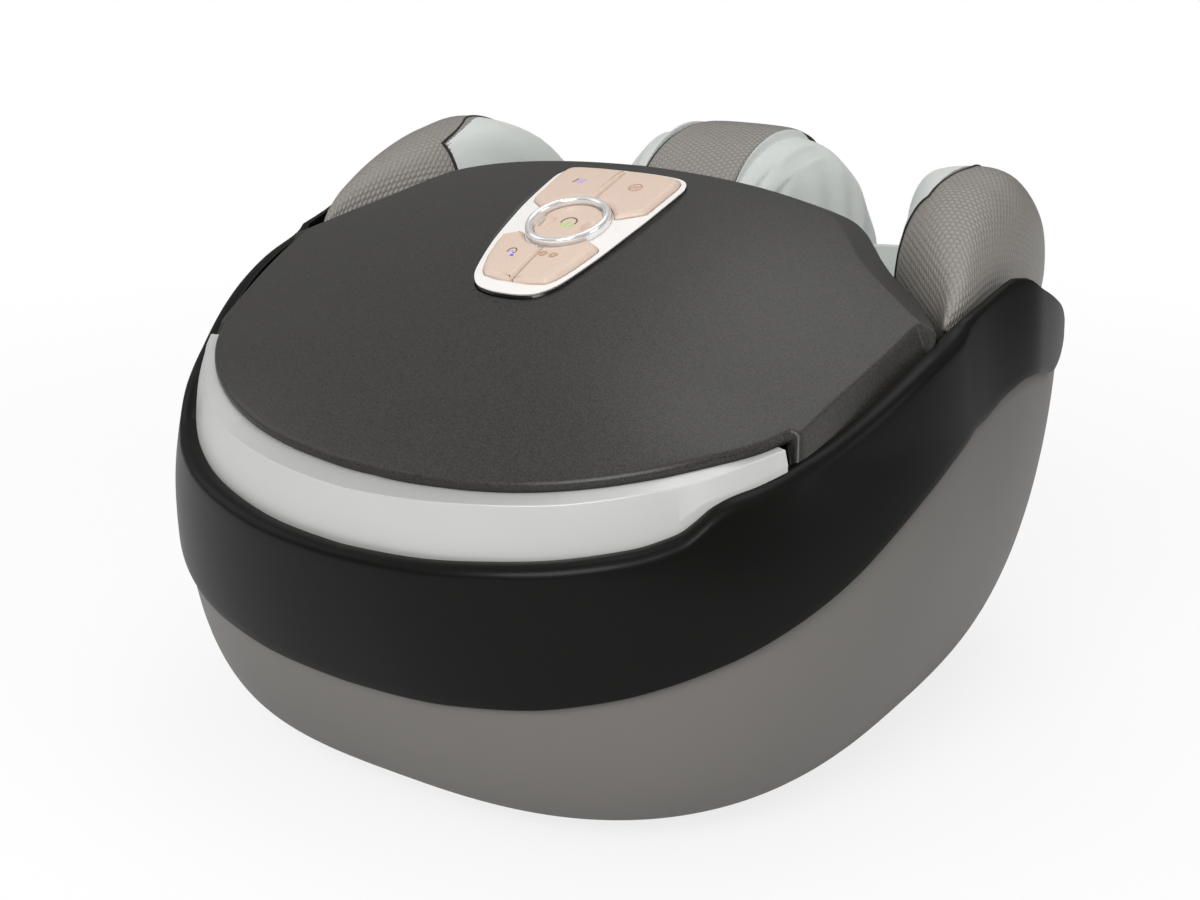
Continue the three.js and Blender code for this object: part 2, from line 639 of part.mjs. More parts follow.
// Turn round the tub at which a plan point lies
const turnOf = (p) => {
  const power = frontRoundShares[0] + frontRoundShares[1];
  const depth = Math.max(bodyAxisY - p.y, 0) / (baseFrontReach + frontFlare);
  const width = Math.abs(p.x) / (baseHalfWidth + sideFlare);
  return -THREE.MathUtils.radToDeg(Math.atan2(depth ** (power / 2), width ** (power / 2)));
};
function lidWall(point) {
  const edge = point.at.clone().add(point.wall);
  const surface = lidHeight(point.at.x, point.at.y);
  if (point.kind === "front") return { edge, top: surface - lipDrop + skirtLap, foot: surface - lipDrop };
  if (point.kind === "side") {
    const foot = ledgeHeight(turnOf(edge)) + looseFit;
    return { edge, top: foot + skirtLap, foot };
  }
  const away = Math.abs(point.at.x) / lidHalfWidth;
  const fall = THREE.MathUtils.lerp(collarFallShares[1], collarFallShares[0], away) * collarWidth;
  return { edge, top: surface - fall, foot: deckTop + looseFit };
}
const towardsMiddle = (p, distance) => {
  const inward = lidMiddle.clone().sub(p);
  return p.clone().addScaledVector(inward.normalize(), distance);
};
const onLid = (p, below = 0) => new THREE.Vector3(p.x, p.y, lidHeight(p.x, p.y) - below);
const lidOuterRings = [
  ...lidRingShares.map((share) => lidOutline.map((p) => onLid(lidMiddle.clone().lerp(p.at, share)))),
  lidOutline.map((p) => onLid(towardsMiddle(p.at, lipInset))),
  lidOutline.map((p) => onLid(towardsMiddle(p.at, lipRound), lipRound / 2)),
  lidOutline.map((p) => {
    const { edge, top } = lidWall(p);
    return new THREE.Vector3(edge.x, edge.y, top);
  }),
  lidOutline.map((p) => {
    const { edge, foot } = lidWall(p);
    return new THREE.Vector3(edge.x, edge.y, foot);
  }),
];
const lidInnerRings = [
  lidOutline.map((p) => {
    const { edge, foot } = lidWall(p);
    const inside = towardsMiddle(edge, lidThickness);
    return new THREE.Vector3(inside.x, inside.y, foot);
  }),
  lidOutline.map((p) => onLid(towardsMiddle(p.at, lipInset), lidThickness)),
  ...[...lidRingShares].reverse().map((share) => lidOutline.map((p) => onLid(lidMiddle.clone().lerp(p.at, share), lidThickness))),
];
const lidBody = skin(
  [...lidOuterRings, ...lidInnerRings],
  new THREE.Vector3(0, lidMiddle.y, lidHeight(0, lidMiddle.y)),
  new THREE.Vector3(0, lidMiddle.y, lidHeight(0, lidMiddle.y) - lidThickness),
);

// The key panel's frame: x across, y up the slope, z out of the lid
const panelFrame = new THREE.Group();
panelFrame.position.set(0, panelCentreY, panelCentreZ);
panelFrame.rotation.x = THREE.MathUtils.degToRad(panelTilt);
massager.add(panelFrame);
panelFrame.updateMatrix();
const panelPoint = ([x, y]) => new THREE.Vector2(x * panelHalfWidth, y * panelHalfLength);
const wholeOutline = (shares) => {
  const right = shares.map(panelPoint);
  const left = right.filter((p) => p.x > 0).map((p) => new THREE.Vector2(-p.x, p.y));
  return [...right, ...left.reverse()];
};
const bezelOutline = wholeOutline(bezelShares);
const panelHole = slab(widened(bezelOutline, looseFit), 2 * bezelDepth + 2 * overrun)
  .translate(0, 0, -bezelDepth - overrun)
  .applyMatrix4(panelFrame.matrix);
add("top_cover", cut(lidBody, panelHole), lidPlastic);

// Bends a flat panel piece to the lid's curve
function sagged(geometry) {
  const place = geometry.getAttribute("position");
  for (let i = 0; i < place.count; i += 1) {
    const along = place.getY(i) / panelHalfLength;
    const across = place.getX(i) / panelHalfWidth;
    place.setZ(i, place.getZ(i) - panelSag * along ** 2 - panelSideSag * across ** 2);
  }
  return geometry;
}
const keyPair = (shares) => {
  const right = shares.map(panelPoint);
  const outer = right.filter((p) => p.x > 0.03 * panelHalfWidth);
  const [first, last] = [right[0], right.at(-1)];
  const middle = (p) => new THREE.Vector2(0, p.y);
  return [
    middle(first),
    ...outer,
    middle(last),
    ...outer.map((p) => new THREE.Vector2(-p.x, p.y)).reverse(),
  ];
};
const bezelHoles = [rearKeyShares, frontKeyShares].map((shares) => widened(keyPair(shares), keyGap));
const powerHole = circlePoints(powerKeyRadius + keyGap, 24);
const bezelPlate = sagged(slab(bezelOutline, bezelProud + bezelDepth, [...bezelHoles, powerHole]).translate(0, 0, -bezelDepth));
const boardTop = -bezelDepth - boardDrop;
add("panel_bezel", bezelPlate, whitePlastic, panelFrame);

function keyCap(outline) {
  const bevel = { bevelEnabled: true, bevelThickness: keyBevel, bevelSize: keyBevel, bevelOffset: -keyBevel, bevelSegments: 1 };
  const cap = new THREE.ExtrudeGeometry(new THREE.Shape(outline), {
    depth: keyProud + keyDepth - 2 * keyBevel,
    steps: 1,
    ...bevel,
  });
  return sagged(cap.translate(0, 0, keyBevel - keyDepth));
}
const rearKey = keyCap(rearKeyShares.map(panelPoint));
const frontKey = keyCap(frontKeyShares.map(panelPoint));
add("heat_button", rearKey, rosePlastic, panelFrame);
add("mode_button", mirrored(rearKey), rosePlastic, panelFrame);
add("kneading_button", frontKey, rosePlastic, panelFrame);
add("auto_button", mirrored(frontKey), rosePlastic, panelFrame);
const ringFoot = bezelProud + clearance;
add(
  "panel_ring",
  turned(
    [
      [ringInner, ringFoot],
      [ringOuter, ringFoot],
      [ringOuter, ringFoot + ringHeight - keyBevel],
      [(ringInner + ringOuter) / 2, ringFoot + ringHeight],
      [ringInner, ringFoot + ringHeight - keyBevel],
      [ringInner, ringFoot],
    ],
    24,
  ),
  chromePlate,
  panelFrame,
);
const powerDisc = turned(
  [
    [0, -keyDepth],
    [powerKeyRadius, -keyDepth],
    [powerKeyRadius, keyProud - keyBevel / 2],
    [powerKeyRadius - keyBevel, keyProud],
    [0, keyProud],
  ],
  24,
);
const dishPlace = powerKeyRadius - fingerDishRadius * 0.4;
const dishes = [-1, 1].map((side) =>
  new THREE.SphereGeometry(fingerDishRadius, 10, 8).translate(side * dishPlace, 0, keyProud + fingerDishRadius - fingerDishDepth),
);
add("power_button", cut(powerDisc, ...dishes), rosePlastic, panelFrame);

// Control board under the panel: five switches reach up to the keys
const boardPlate = new THREE.BoxGeometry(boardSize.x, boardSize.y, boardThickness).translate(0, 0, boardTop - boardThickness / 2);
const switchTop = -keyDepth - keyTravel - clearance;
const switchPlaces = [
  [0, 0],
  ...[-1, 1].flatMap((a) => [rearKeyShares, frontKeyShares].map((shares) => [a * 0.42 * panelHalfWidth, (shares[2][1] + shares.at(-1)[1]) * half * panelHalfLength])),
];
const switches = switchPlaces.map(([x, y]) =>
  new THREE.BoxGeometry(switchSize, switchSize, switchTop - panelSag - boardTop + boardThickness / 2).translate(
    x,
    y,
    (switchTop - panelSag + boardTop - boardThickness / 2) / 2,
  ),
);
const edgePosts = [-1, 1].map((side) =>
  rod(postRadius, -bezelDepth - panelSideSag * half - clearance - boardTop + boardThickness / 2, 10).translate(
    side * (panelHalfWidth * 0.64),
    0,
    boardTop - boardThickness / 2,
  ),
);
add("control_board", joined(boardPlate, ...switches, ...edgePosts), boardGreen, panelFrame);

// Front trim: two facets between the band's ledge and the lid's lip
const lidEdgeTable = lidFrontShares.map(([turn, inset]) => [turn, inset]);
function trimSection(turn) {
  const side = folded(turn);
  const foot = bandTop * along(trimFootShares, side);
  const ridge = bandTop * along(trimRidgeShares, side);
  const seat = ledgeHeight(turn) + looseFit;
  const inset = lidHalfWidth * along(lidEdgeTable, side);
  const lipPlan = tubPoint(turn, bandTop * along(lidFrontShares, side, 2), -inset);
  const lip = lidHeight(lipPlan.x, lipPlan.y) - lipDrop - looseFit;
  const tuck = tubPoint(turn, bandTop * along(lidFrontShares, side, 2), -inset - trimThickness);
  const face = ledgeGroove + 2 * clearance;
  return [
    tubPoint(turn, seat, -face),
    tubPoint(turn, foot, -face),
    tubPoint(turn, ridge, -trimRidgeInset),
    lipPlan.clone().setZ(lip),
    tuck.clone().setZ(lip - clearance),
    tuck.clone().setZ(lip - trimThickness),
    tubPoint(turn, ridge - trimThickness, -trimRidgeInset - trimThickness),
    tubPoint(turn, seat, -face - trimThickness),
  ];
}
add("front_trim", skin(bothSides(trimTurns).map(trimSection)), silverPlastic);

// Inner deck: a plate inside the shell's rim with the two boot openings; it carries every cushion
const deckTurns = [deckFrontTurn, -7, -2, 0.6, 3, 7, 13, 21, 30, 40, 50, 60, 70, 80];
const deckEdge = [...deckTurns, 90, ...deckTurns.map((t) => 180 - t).reverse()].map((turn) => {
  const point = tubPoint(turn, deckHeight, -shellWall - lapInset - 2 * clearance);
  return new THREE.Vector2(point.x, point.y);
});
const shaftOval = (shrink) =>
  superOval(shaftHalfWidth - shrink, shaftHalfLength - shrink, shaftRoundShare, shaftSides).map((p) =>
    p.add(new THREE.Vector2(wellCentreX - wellWall / 4, shaftCentreY)),
  );
const opening = shaftOval(wellWall);
const mirroredOutline = (outline) => outline.map((p) => new THREE.Vector2(-p.x, p.y)).reverse();
add("inner_deck", slab(deckEdge, deckThickness, [opening, mirroredOutline(opening)]).translate(0, 0, deckHeight), darkNylon);

// Side pads
const cushionFoot = deckTop + clearance;
const padRow = (share) => [0, 1, 2, 3, 4].map((column) => (column ? along(sidePadShares, share, column) : share));
function padSection([at, inner, outer, bottom, top]) {
  const width = (outer - inner) * sidePadReach;
  const low = cushionFoot + bottom * cushionHeight;
  const tall = (top - bottom) * cushionHeight;
  return padSectionShares.map(
    ([across, up]) => new THREE.Vector3(inner * sidePadReach + across * width, sidePadFrontY + at * sidePadLength, low + up * tall),
  );
}
addPair("side_pad", skin(sidePadShares.map(padSection)), taupeLeather);

// White cuffs that line the inner faces of the side pads
const outerCuff = outerCuffSpanShares.map(([share, fullness]) => {
  const row = padRow(share);
  const section = padSection(row);
  const thick = cuffThickness * fullness;
  const tall = (row[4] - row[3]) * cushionHeight;
  const lift = outerCuffBaseShare * cushionHeight;
  const [, , hip, flank, shoulder] = section;
  const near = (p, x, z) => new THREE.Vector3(p.x - x, p.y, p.z + z);
  return [
    near(hip, looseFit, lift * half - 0.3 * tall),
    near(hip, looseFit, 0),
    near(flank, 2 * looseFit, looseFit),
    near(shoulder, looseFit, 3 * looseFit),
    near(shoulder, thick * half, thick * 0.45),
    near(flank, thick * 0.9, thick * half),
    near(hip, thick, 0),
    near(hip, thick * 0.8, lift * half - 0.26 * tall),
  ];
});
addPair("outer_cuff", skin(outerCuff), whiteFabric);

// Centre pad and the white cuffs on both sides of it
const centrePad = centrePadCrownShares.map(([across, tall]) =>
  centrePadShares.map(
    ([back, up]) =>
      new THREE.Vector3(
        (across * centrePadWidth) / 2,
        centrePadFrontY + centrePadLength * (half + (back - half) * tall),
        cushionFoot + up * tall * cushionHeight,
      ),
  ),
);
add("centre_pad", skin(centrePad), taupeLeather);
const cuffStart = centrePadWidth / 2 + clearance;
const innerCuff = innerCuffShares.map(([back, reach, tall]) =>
  innerCuffSectionShares.map(
    ([across, up]) =>
      new THREE.Vector3(
        cuffStart + across * (reach * innerCuffReach - cuffStart),
        centrePadFrontY + back * centrePadLength,
        cushionFoot + up * tall * cushionHeight,
      ),
  ),
);
addPair("inner_cuff", skin(innerCuff), whiteFabric);

// Foot wells: a toe tunnel and an ankle shaft in one boot-shaped liner
function tunnel(shrink) {
  const rings = wellShares.map(([back, wide, tall]) =>
    superOval(wide * wellHalfWidth - shrink, (tall * wellHeight) / 2 - shrink, wellRoundShare, wellSides).map(
      (p) => new THREE.Vector3(wellCentreX + p.x, wellToeY + shrink + back * (wellLength - 2 * shrink), soleHeight + wellHeight / 2 + p.y),
    ),
  );
  return skin(rings);
}
function shaft(shrink, top) {
  return slab(shaftOval(shrink), top - shaftFoot).translate(0, 0, shaftFoot);
}
const linerTop = deckHeight - clearance;
const liner = cut(joined(tunnel(0), shaft(0, linerTop)), joined(tunnel(wellWall), shaft(wellWall, linerTop + overrun)));
addPair("foot_liner", liner, whiteFabric);

// Kneading drive
function gearOutline() {
  const step = (2 * Math.PI) / gearTeeth;
  const [rootShare, tipShare] = toothShares;
  return Array.from({ length: gearTeeth }, (_, k) => {
    const at = k * step;
    const ray = (radius, angle) => new THREE.Vector2(radius * Math.cos(angle), radius * Math.sin(angle));
    return [
      ray(gearPitchRadius - gearRoot, at - rootShare * step),
      ray(gearPitchRadius + gearTip, at - tipShare * step),
      ray(gearPitchRadius + gearTip, at + tipShare * step),
      ray(gearPitchRadius - gearRoot, at + rootShare * step),
    ];
  }).flat();
}
const spindleFoot = basePlateHeight + plateThickness + clearance;
const spindleTop = headHeight + headThickness;
const gearSolid = (turn) =>
  joined(
    slab(gearOutline(), gearThickness).rotateZ(turn).translate(0, 0, gearHeight),
    rod(spindleRadius, spindleTop - clearance - spindleFoot, 12).translate(0, 0, spindleFoot),
  );
const nodeDome = [
  [0, 0],
  [nodeRadius, 0],
  [nodeRadius, (nodeTop - spindleTop) * 0.35],
  [nodeRadius * 0.8, (nodeTop - spindleTop) * 0.75],
  [nodeRadius * 0.42, nodeTop - spindleTop],
  [0, nodeTop - spindleTop],
];
const headSolid = (turn) =>
  cut(
    joined(
      rod(headRadius, headThickness, 24).translate(0, 0, headHeight),
      ...circlePoints(nodeOrbit, nodeCount, turn).map((p) =>
        turned(nodeDome, 8).translate(p.x, p.y, spindleTop - clearance),
      ),
    ),
    rod(spindleRadius + clearance, headThickness + 2 * overrun, 12).translate(0, 0, headHeight - overrun),
  );
const toothHalf = Math.PI / gearTeeth;
const plateOutline = (() => {
  const [front, back] = [frontHeadY - headPitch * 0.66, rearHeadY + headPitch * 0.66];
  const round = plateHalfWidth * plateRoundShare;
  const shape = new THREE.Shape();
  shape.moveTo(-plateHalfWidth + round, front);
  shape.lineTo(plateHalfWidth - round, front);
  shape.quadraticCurveTo(plateHalfWidth, front, plateHalfWidth, front + round);
  shape.lineTo(plateHalfWidth, back - round);
  shape.quadraticCurveTo(plateHalfWidth, back, plateHalfWidth - round, back);
  shape.lineTo(-plateHalfWidth + round, back);
  shape.quadraticCurveTo(-plateHalfWidth, back, -plateHalfWidth, back - round);
  shape.lineTo(-plateHalfWidth, front + round);
  shape.quadraticCurveTo(-plateHalfWidth, front, -plateHalfWidth + round, front);
  return shape.getPoints(3).slice(0, -1);
})();
const pillarPlaces = [
  [plateHalfWidth - 2 * pillarRadius, rearHeadY - gearPitchRadius],
  [2 * pillarRadius - plateHalfWidth, rearHeadY - gearPitchRadius],
  [0, rearHeadY + gearPitchRadius + gearTip + pillarRadius * 1.4],
  [0, frontHeadY - gearPitchRadius - gearTip - pillarRadius * 1.4],
];
const pillarHeight = topPlateHeight - clearance - basePlateHeight;
const basePlate = cut(
  joined(
    slab(plateOutline, plateThickness).translate(wellCentreX, 0, basePlateHeight),
    ...pillarPlaces.map(([x, y]) => rod(pillarRadius, pillarHeight, 8).translate(wellCentreX + x, y, basePlateHeight)),
    ...legPlaces.map(([x, y]) => rod(legRadius, basePlateHeight - floorHeight - clearance + plateThickness / 2, 8).translate(x, y, floorHeight + clearance)),
    ...[frontHeadY, rearHeadY].map((y) => rod(2 * spindleRadius, gearHeight - clearance - basePlateHeight, 12).translate(wellCentreX, y, basePlateHeight)),
  ),
  ...[frontHeadY, rearHeadY].map((y) => rod(spindleRadius + clearance, 4 * overrun, 12).translate(wellCentreX, y, basePlateHeight + plateThickness)),
  ...screwedLegs.map(([x, y]) => rod(screwRadius + clearance, screwLength, 8).translate(x, y, footHeight - clearance)),
);
addPair("gearbox_base", basePlate, darkNylon);
const topPlate = slab(
  plateOutline,
  plateThickness,
  [frontHeadY, rearHeadY].map((y) => circlePoints(spindleRadius + clearance, 12).map((p) => p.add(new THREE.Vector2(0, y)))),
).translate(wellCentreX, 0, topPlateHeight);
addPair("gearbox_cover", topPlate, darkNylon);
[
  ["rear", rearHeadY, 0, Math.PI / 6],
  ["front", frontHeadY, toothHalf, Math.PI / 2],
].forEach(([place, y, toothTurn, nodeTurn]) => {
  addPair(place + "_gear", gearSolid(toothTurn).translate(wellCentreX, y, 0), ivoryNylon);
  addPair(place + "_kneading_head", headSolid(nodeTurn).translate(wellCentreX, y, 0), ivoryNylon);
});

// Gear motors and their worm shafts, lying along Y beside the rear gears
const motorBody = cut(
  turned(
    [
      [0, 0],
      [motorRadius * 0.4, 0],
      [motorRadius * 0.4, clearance * 4],
      [motorRadius, clearance * 4],
      [motorRadius, motorLength - clearance * 4],
      [motorRadius * 0.4, motorLength - clearance * 4],
      [motorRadius * 0.4, motorLength],
      [0, motorLength],
    ],
    14,
  ),
  rod(motorBore, motorBoreDepth + overrun, 8).translate(0, 0, -overrun),
);
const lieAlongY = (geometry, x, y, z) => geometry.rotateX(-Math.PI / 2).translate(x, y, z);
addPair("gear_motor", lieAlongY(motorBody, motorX, motorFrontY, motorAxisHeight), steel);
const threadPitch = wormLength / wormThreads;
const wormFoot = motorFrontY - rearHeadY - wormLength / 2;
const wormProfile = [
  [0, -motorBoreDepth + looseFit],
  [shaftRadius, -motorBoreDepth + looseFit],
  [shaftRadius, wormFoot],
  ...Array.from({ length: wormThreads }, (_, k) => [
    [wormRadius * 0.72, wormFoot + k * threadPitch],
    [wormRadius, wormFoot + (k + 0.35) * threadPitch],
    [wormRadius, wormFoot + (k + 0.65) * threadPitch],
  ]).flat(),
  [wormRadius * 0.72, wormFoot + wormLength],
  [shaftRadius, wormFoot + wormLength],
  [shaftRadius, wormFoot + wormLength + shaftRadius * 3],
  [0, wormFoot + wormLength + shaftRadius * 3],
];
addPair("worm_shaft", turned(wormProfile, 8).rotateX(Math.PI / 2).translate(motorX, motorFrontY, motorAxisHeight), steel);

function saddle(halfWidth, top, radius, axisHeight, length) {
  const rest = Math.asin(THREE.MathUtils.clamp((axisHeight - top) / radius, -1, 1));
  const arc = Array.from({ length: 9 }, (_, k) => {
    const angle = Math.PI + rest + ((Math.PI - 2 * rest) * k) / 8;
    return new THREE.Vector2(radius * Math.cos(angle), axisHeight + radius * Math.sin(angle));
  });
  const low = floorHeight + clearance;
  const outline = [new THREE.Vector2(-halfWidth, low), new THREE.Vector2(halfWidth, low), new THREE.Vector2(halfWidth, top)];
  const profile = [...outline, ...arc.reverse(), new THREE.Vector2(-halfWidth, top)];
  return slab(profile, length).rotateX(Math.PI / 2).translate(0, length, 0);
}
addPair(
  "motor_saddle",
  saddle(saddleHalfWidth, floorHeight + saddleHeight, motorRadius + clearance * 1.5, motorAxisHeight, saddleLength).translate(
    motorX,
    motorFrontY + (motorLength - saddleLength) / 2,
    0,
  ),
  darkNylon,
);

// Vibration motor between the wells, with its off-centre weight
const shakerBody = cut(
  turned(
    [
      [0, 0],
      [shakerRadius, 0],
      [shakerRadius, shakerLength],
      [0, shakerLength],
    ],
    14,
  ),
  rod(motorBore, motorBoreDepth + overrun, 8).translate(0, 0, -overrun),
);
add("vibration_motor", lieAlongY(shakerBody, 0, shakerFrontY, shakerAxisHeight), steel);
const weightShape = new THREE.Shape()
  .moveTo(-weightRadius, -shaftRadius)
  .absarc(0, 0, weightRadius, Math.PI, 2 * Math.PI, false)
  .lineTo(weightRadius, shaftRadius * 1.5)
  .lineTo(-weightRadius, shaftRadius * 1.5);
const weightSolid = joined(
  new THREE.ExtrudeGeometry(weightShape, { depth: weightThickness, bevelEnabled: false, curveSegments: 12 }),
  rod(shaftRadius, weightThickness + motorBoreDepth, 12),
);
add(
  "eccentric_weight",
  weightSolid.rotateX(-Math.PI / 2).scale(1, 1, -1).translate(0, shakerFrontY - weightThickness - 2 * looseFit, shakerAxisHeight),
  steel,
);
add(
  "vibration_saddle",
  saddle(shakerRadius * 1.25, shakerAxisHeight - shakerRadius * 0.3, shakerRadius + clearance * 1.5, shakerAxisHeight, shakerLength * 0.6).translate(
    0,
    shakerFrontY + shakerLength * 0.2,
    0,
  ),
  darkNylon,
);

// Heater films under the heels, power board, mains inlet
addPair(
  "heater_film",
  new THREE.BoxGeometry(heaterSize.x, heaterSize.y, heaterSize.z).translate(wellCentreX, heaterY, soleHeight - clearance - heaterSize.z / 2),
  heaterFilm,
);
const onBoard = powerBoardHeight + boardThickness * half;
const powerBoard = joined(
  new THREE.BoxGeometry(powerBoardSize.x, powerBoardSize.y, boardThickness).translate(0, powerBoardY, powerBoardHeight + boardThickness / 2),
  new THREE.BoxGeometry(transformerSize.x, transformerSize.y, transformerSize.z).translate(
    -powerBoardSize.x / 5,
    powerBoardY,
    onBoard + transformerSize.z / 2,
  ),
  ...[-1, 1].map((side) => rod(capacitorRadius, capacitorHeight, 12).translate(powerBoardSize.x / 4, powerBoardY + side * 1.5 * capacitorRadius, onBoard)),
);
add("power_board", powerBoard, boardGreen);
const inletFace = tubPoint(90, inletHeight + inletSize.z / 2 + inletFlange).y + clearance + inletFlange;
const inletBody = cut(
  joined(
    new THREE.BoxGeometry(inletSize.x, inletSize.y, inletSize.z).translate(0, inletFace - inletSize.y / 2, inletHeight),
    new THREE.BoxGeometry(inletSize.x + 2 * inletFlange, inletFlange, inletSize.z + 2 * inletFlange).translate(
      0,
      inletFace - inletFlange / 2,
      inletHeight,
    ),
  ),
  new THREE.BoxGeometry(inletSocket.x, 2 * inletSocket.y, inletSocket.z).translate(0, inletFace, inletHeight),
);
add("power_inlet", inletBody, blackPlastic);

// Rubber feet and base screws
const footPlaces = {
  front: [baseHalfWidth * 0.53, bodyAxisY - baseFrontReach * 0.73],
  middle: [baseHalfWidth * 0.95, bodyAxisY - baseFrontReach * 0.09],
  rear: [baseHalfWidth * 0.7, bodyAxisY + baseRearReach * 0.73],
};
const footSolid = turned(
  [
    [0, 0],
    [footRadius - footTaper, 0],
    [footRadius, footHeight - clearance],
    [0, footHeight - clearance],
  ],
  16,
);
Object.entries(footPlaces).forEach(([place, [x, y]]) => addPair(place + "_foot", footSolid.clone().translate(x, y, 0), blackRubber));
const screwSolid = turned(
  [
    [0, 0],
    [screwHeadRadius, 0],
    [screwHeadRadius, screwHeadHeight],
    [screwRadius, screwHeadHeight],
    [screwRadius, screwHeadHeight + screwLength - overrun * half],
    [0, screwHeadHeight + screwLength - overrun * half],
  ],
  8,
);
[
  ["front_base_screw", screwedLegs[0]],
  ["rear_base_screw", screwedLegs[1]],
].forEach(([name, [x, y]]) => addPair(name, screwSolid.clone().translate(x, y, footHeight - clearance - screwHeadHeight), steel));

export default massager;
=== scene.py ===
# %% [markdown]
# # A shiatsu foot massager, dressed for the camera
# The machine is a domed plastic tub with two boot-shaped wells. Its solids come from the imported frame,
# and this lesson builds the surfaces that the eye sees round them: smooth mouldings, leather cushions
# with sewn seams, fabric cuffs and a key panel. Lengths in the formulas are millimetres, as on a drawing,
# and each finished mesh is scaled to metres once.

# %% Load the frame
import json
import math

import bmesh
import bpy
from mathutils import Euler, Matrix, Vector

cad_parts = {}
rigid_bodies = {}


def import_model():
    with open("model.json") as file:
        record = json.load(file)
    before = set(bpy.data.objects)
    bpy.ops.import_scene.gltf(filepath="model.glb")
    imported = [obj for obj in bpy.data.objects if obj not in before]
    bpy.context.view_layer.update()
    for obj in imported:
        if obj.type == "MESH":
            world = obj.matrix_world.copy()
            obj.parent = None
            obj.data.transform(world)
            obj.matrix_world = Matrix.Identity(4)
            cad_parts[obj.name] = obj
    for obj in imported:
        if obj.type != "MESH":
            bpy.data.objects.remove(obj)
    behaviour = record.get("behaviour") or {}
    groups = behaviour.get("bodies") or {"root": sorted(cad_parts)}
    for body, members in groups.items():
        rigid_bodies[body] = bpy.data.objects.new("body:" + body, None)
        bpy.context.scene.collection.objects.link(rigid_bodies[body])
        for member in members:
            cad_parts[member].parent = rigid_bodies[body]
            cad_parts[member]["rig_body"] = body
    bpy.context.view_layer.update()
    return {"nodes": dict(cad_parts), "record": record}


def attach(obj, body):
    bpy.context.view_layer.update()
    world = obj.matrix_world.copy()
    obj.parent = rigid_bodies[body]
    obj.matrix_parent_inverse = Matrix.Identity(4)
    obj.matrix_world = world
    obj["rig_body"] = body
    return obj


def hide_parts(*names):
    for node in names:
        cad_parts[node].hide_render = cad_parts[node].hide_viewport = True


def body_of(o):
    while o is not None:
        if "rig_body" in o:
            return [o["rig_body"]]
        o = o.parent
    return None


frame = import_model()
MM = 0.001


def placed(name, data):
    """A new object of the scene, at the origin."""
    thing = bpy.data.objects.new(name, data)
    bpy.context.scene.collection.objects.link(thing)
    return thing


# %% [markdown]
# ## Camera
# The photograph looks at the machine from its toe end, 34 degrees round to the right and 18.7 degrees
# above the horizon, from a little under a metre away. A camera's lens is worked out from its focal length
# in pixels: the picture is 1200 pixels wide, the sensor 36 mm, so 1750 pixels are a 52.5 mm lens.

# %% Set the camera
camera_turn, camera_rise = math.radians(34), math.radians(18.7)
camera_distance, camera_target = 0.875, Vector((0.0018, -0.0074, 0.1223))
camera_data = bpy.data.cameras.new("photo_camera")
camera_data.lens, camera_data.sensor_width = 52.5, 36
camera_data.clip_start, camera_data.clip_end = 0.05, 50
camera = placed("photo_camera", camera_data)
towards_camera = Vector((
    math.sin(camera_turn) * math.cos(camera_rise),
    -math.cos(camera_turn) * math.cos(camera_rise),
    math.sin(camera_rise),
))
camera.location = camera_target + camera_distance * towards_camera
camera.rotation_euler = Euler((math.pi / 2 - camera_rise, 0, camera_turn))
bpy.context.scene.camera = camera
bpy.context.scene.view_settings.view_transform = "Standard"
print("camera at", [round(c, 3) for c in camera.location])

# %% [markdown]
# ## Curves from measured tables
# Mouldings like these are drawn as a few measured stations with a smooth line through them. `along` reads
# such a table with a curve that never overshoots, and `smooth_line` runs a soft line through points in
# space. Both keep the drawing short and the surface fair.

# %% Read a smooth value from a table
def along(table, x, column=1):
    """Smooth value at x in rows of (x, value, ...), without overshoot."""
    if x <= table[0][0]:
        return table[0][column]
    if x >= table[-1][0]:
        return table[-1][column]
    i = next(k for k, row in enumerate(table) if row[0] > x) - 1

    def slope(a, b):
        return (b[column] - a[column]) / (b[0] - a[0])

    def ease(a, b):
        return 0 if a * b <= 0 else 2 * a * b / (a + b)

    middle = slope(table[i], table[i + 1])
    first = ease(slope(table[i - 1], table[i]), middle) if i > 0 else middle
    last = ease(middle, slope(table[i + 1], table[i + 2])) if i + 2 < len(table) else middle
    width = table[i + 1][0] - table[i][0]
    t = (x - table[i][0]) / width
    a, b = table[i][column], table[i + 1][column]
    rise = (1 + 2 * t) * (1 - t) ** 2 * a + t**2 * (3 - 2 * t) * b
    return rise + width * (t * (1 - t) ** 2 * first + t**2 * (t - 1) * last)


def smooth_line(points, steps, closed=False):
    """Points along a soft line through the given rows, with so many steps between each two."""
    points, count = [Vector(row) for row in points], len(points)
    spans = count if closed else count - 1
    pick = (lambda k: points[k % count]) if closed else (lambda k: points[min(max(k, 0), count - 1)])
    line = []
    for span in range(spans):
        a, b, c, d = (pick(span + k) for k in (-1, 0, 1, 2))
        for step in range(steps):
            t = step / steps
            bend, twist = 2 * a - 5 * b + 4 * c - d, 3 * b - a - 3 * c + d
            line.append(0.5 * (2 * b + (c - a) * t + bend * t**2 + twist * t**3))
    return line if closed else line + [points[-1]]


print("half way up a gentle step:", round(along([(0, 0), (1, 1), (2, 1)], 0.5), 3))

# %% [markdown]
# ## Sheets placed by a formula
# Nearly every moulding here is a rectangular sheet bent into its place: `create_grid` makes the sheet,
# and each of its vertices is moved to where a formula or a table of points puts it. A sheet whose edges
# meet is welded along them, which makes a tube or a closed skin. Where a pattern such as leather has to
# follow the surface, the sheet gets a UV map in millimetres.

# %% Build a piece from a bent sheet
WELD = 0.004


def mesh_from(bm, name):
    mesh = bpy.data.meshes.new(name)
    bm.to_mesh(mesh)
    bm.free()
    return mesh


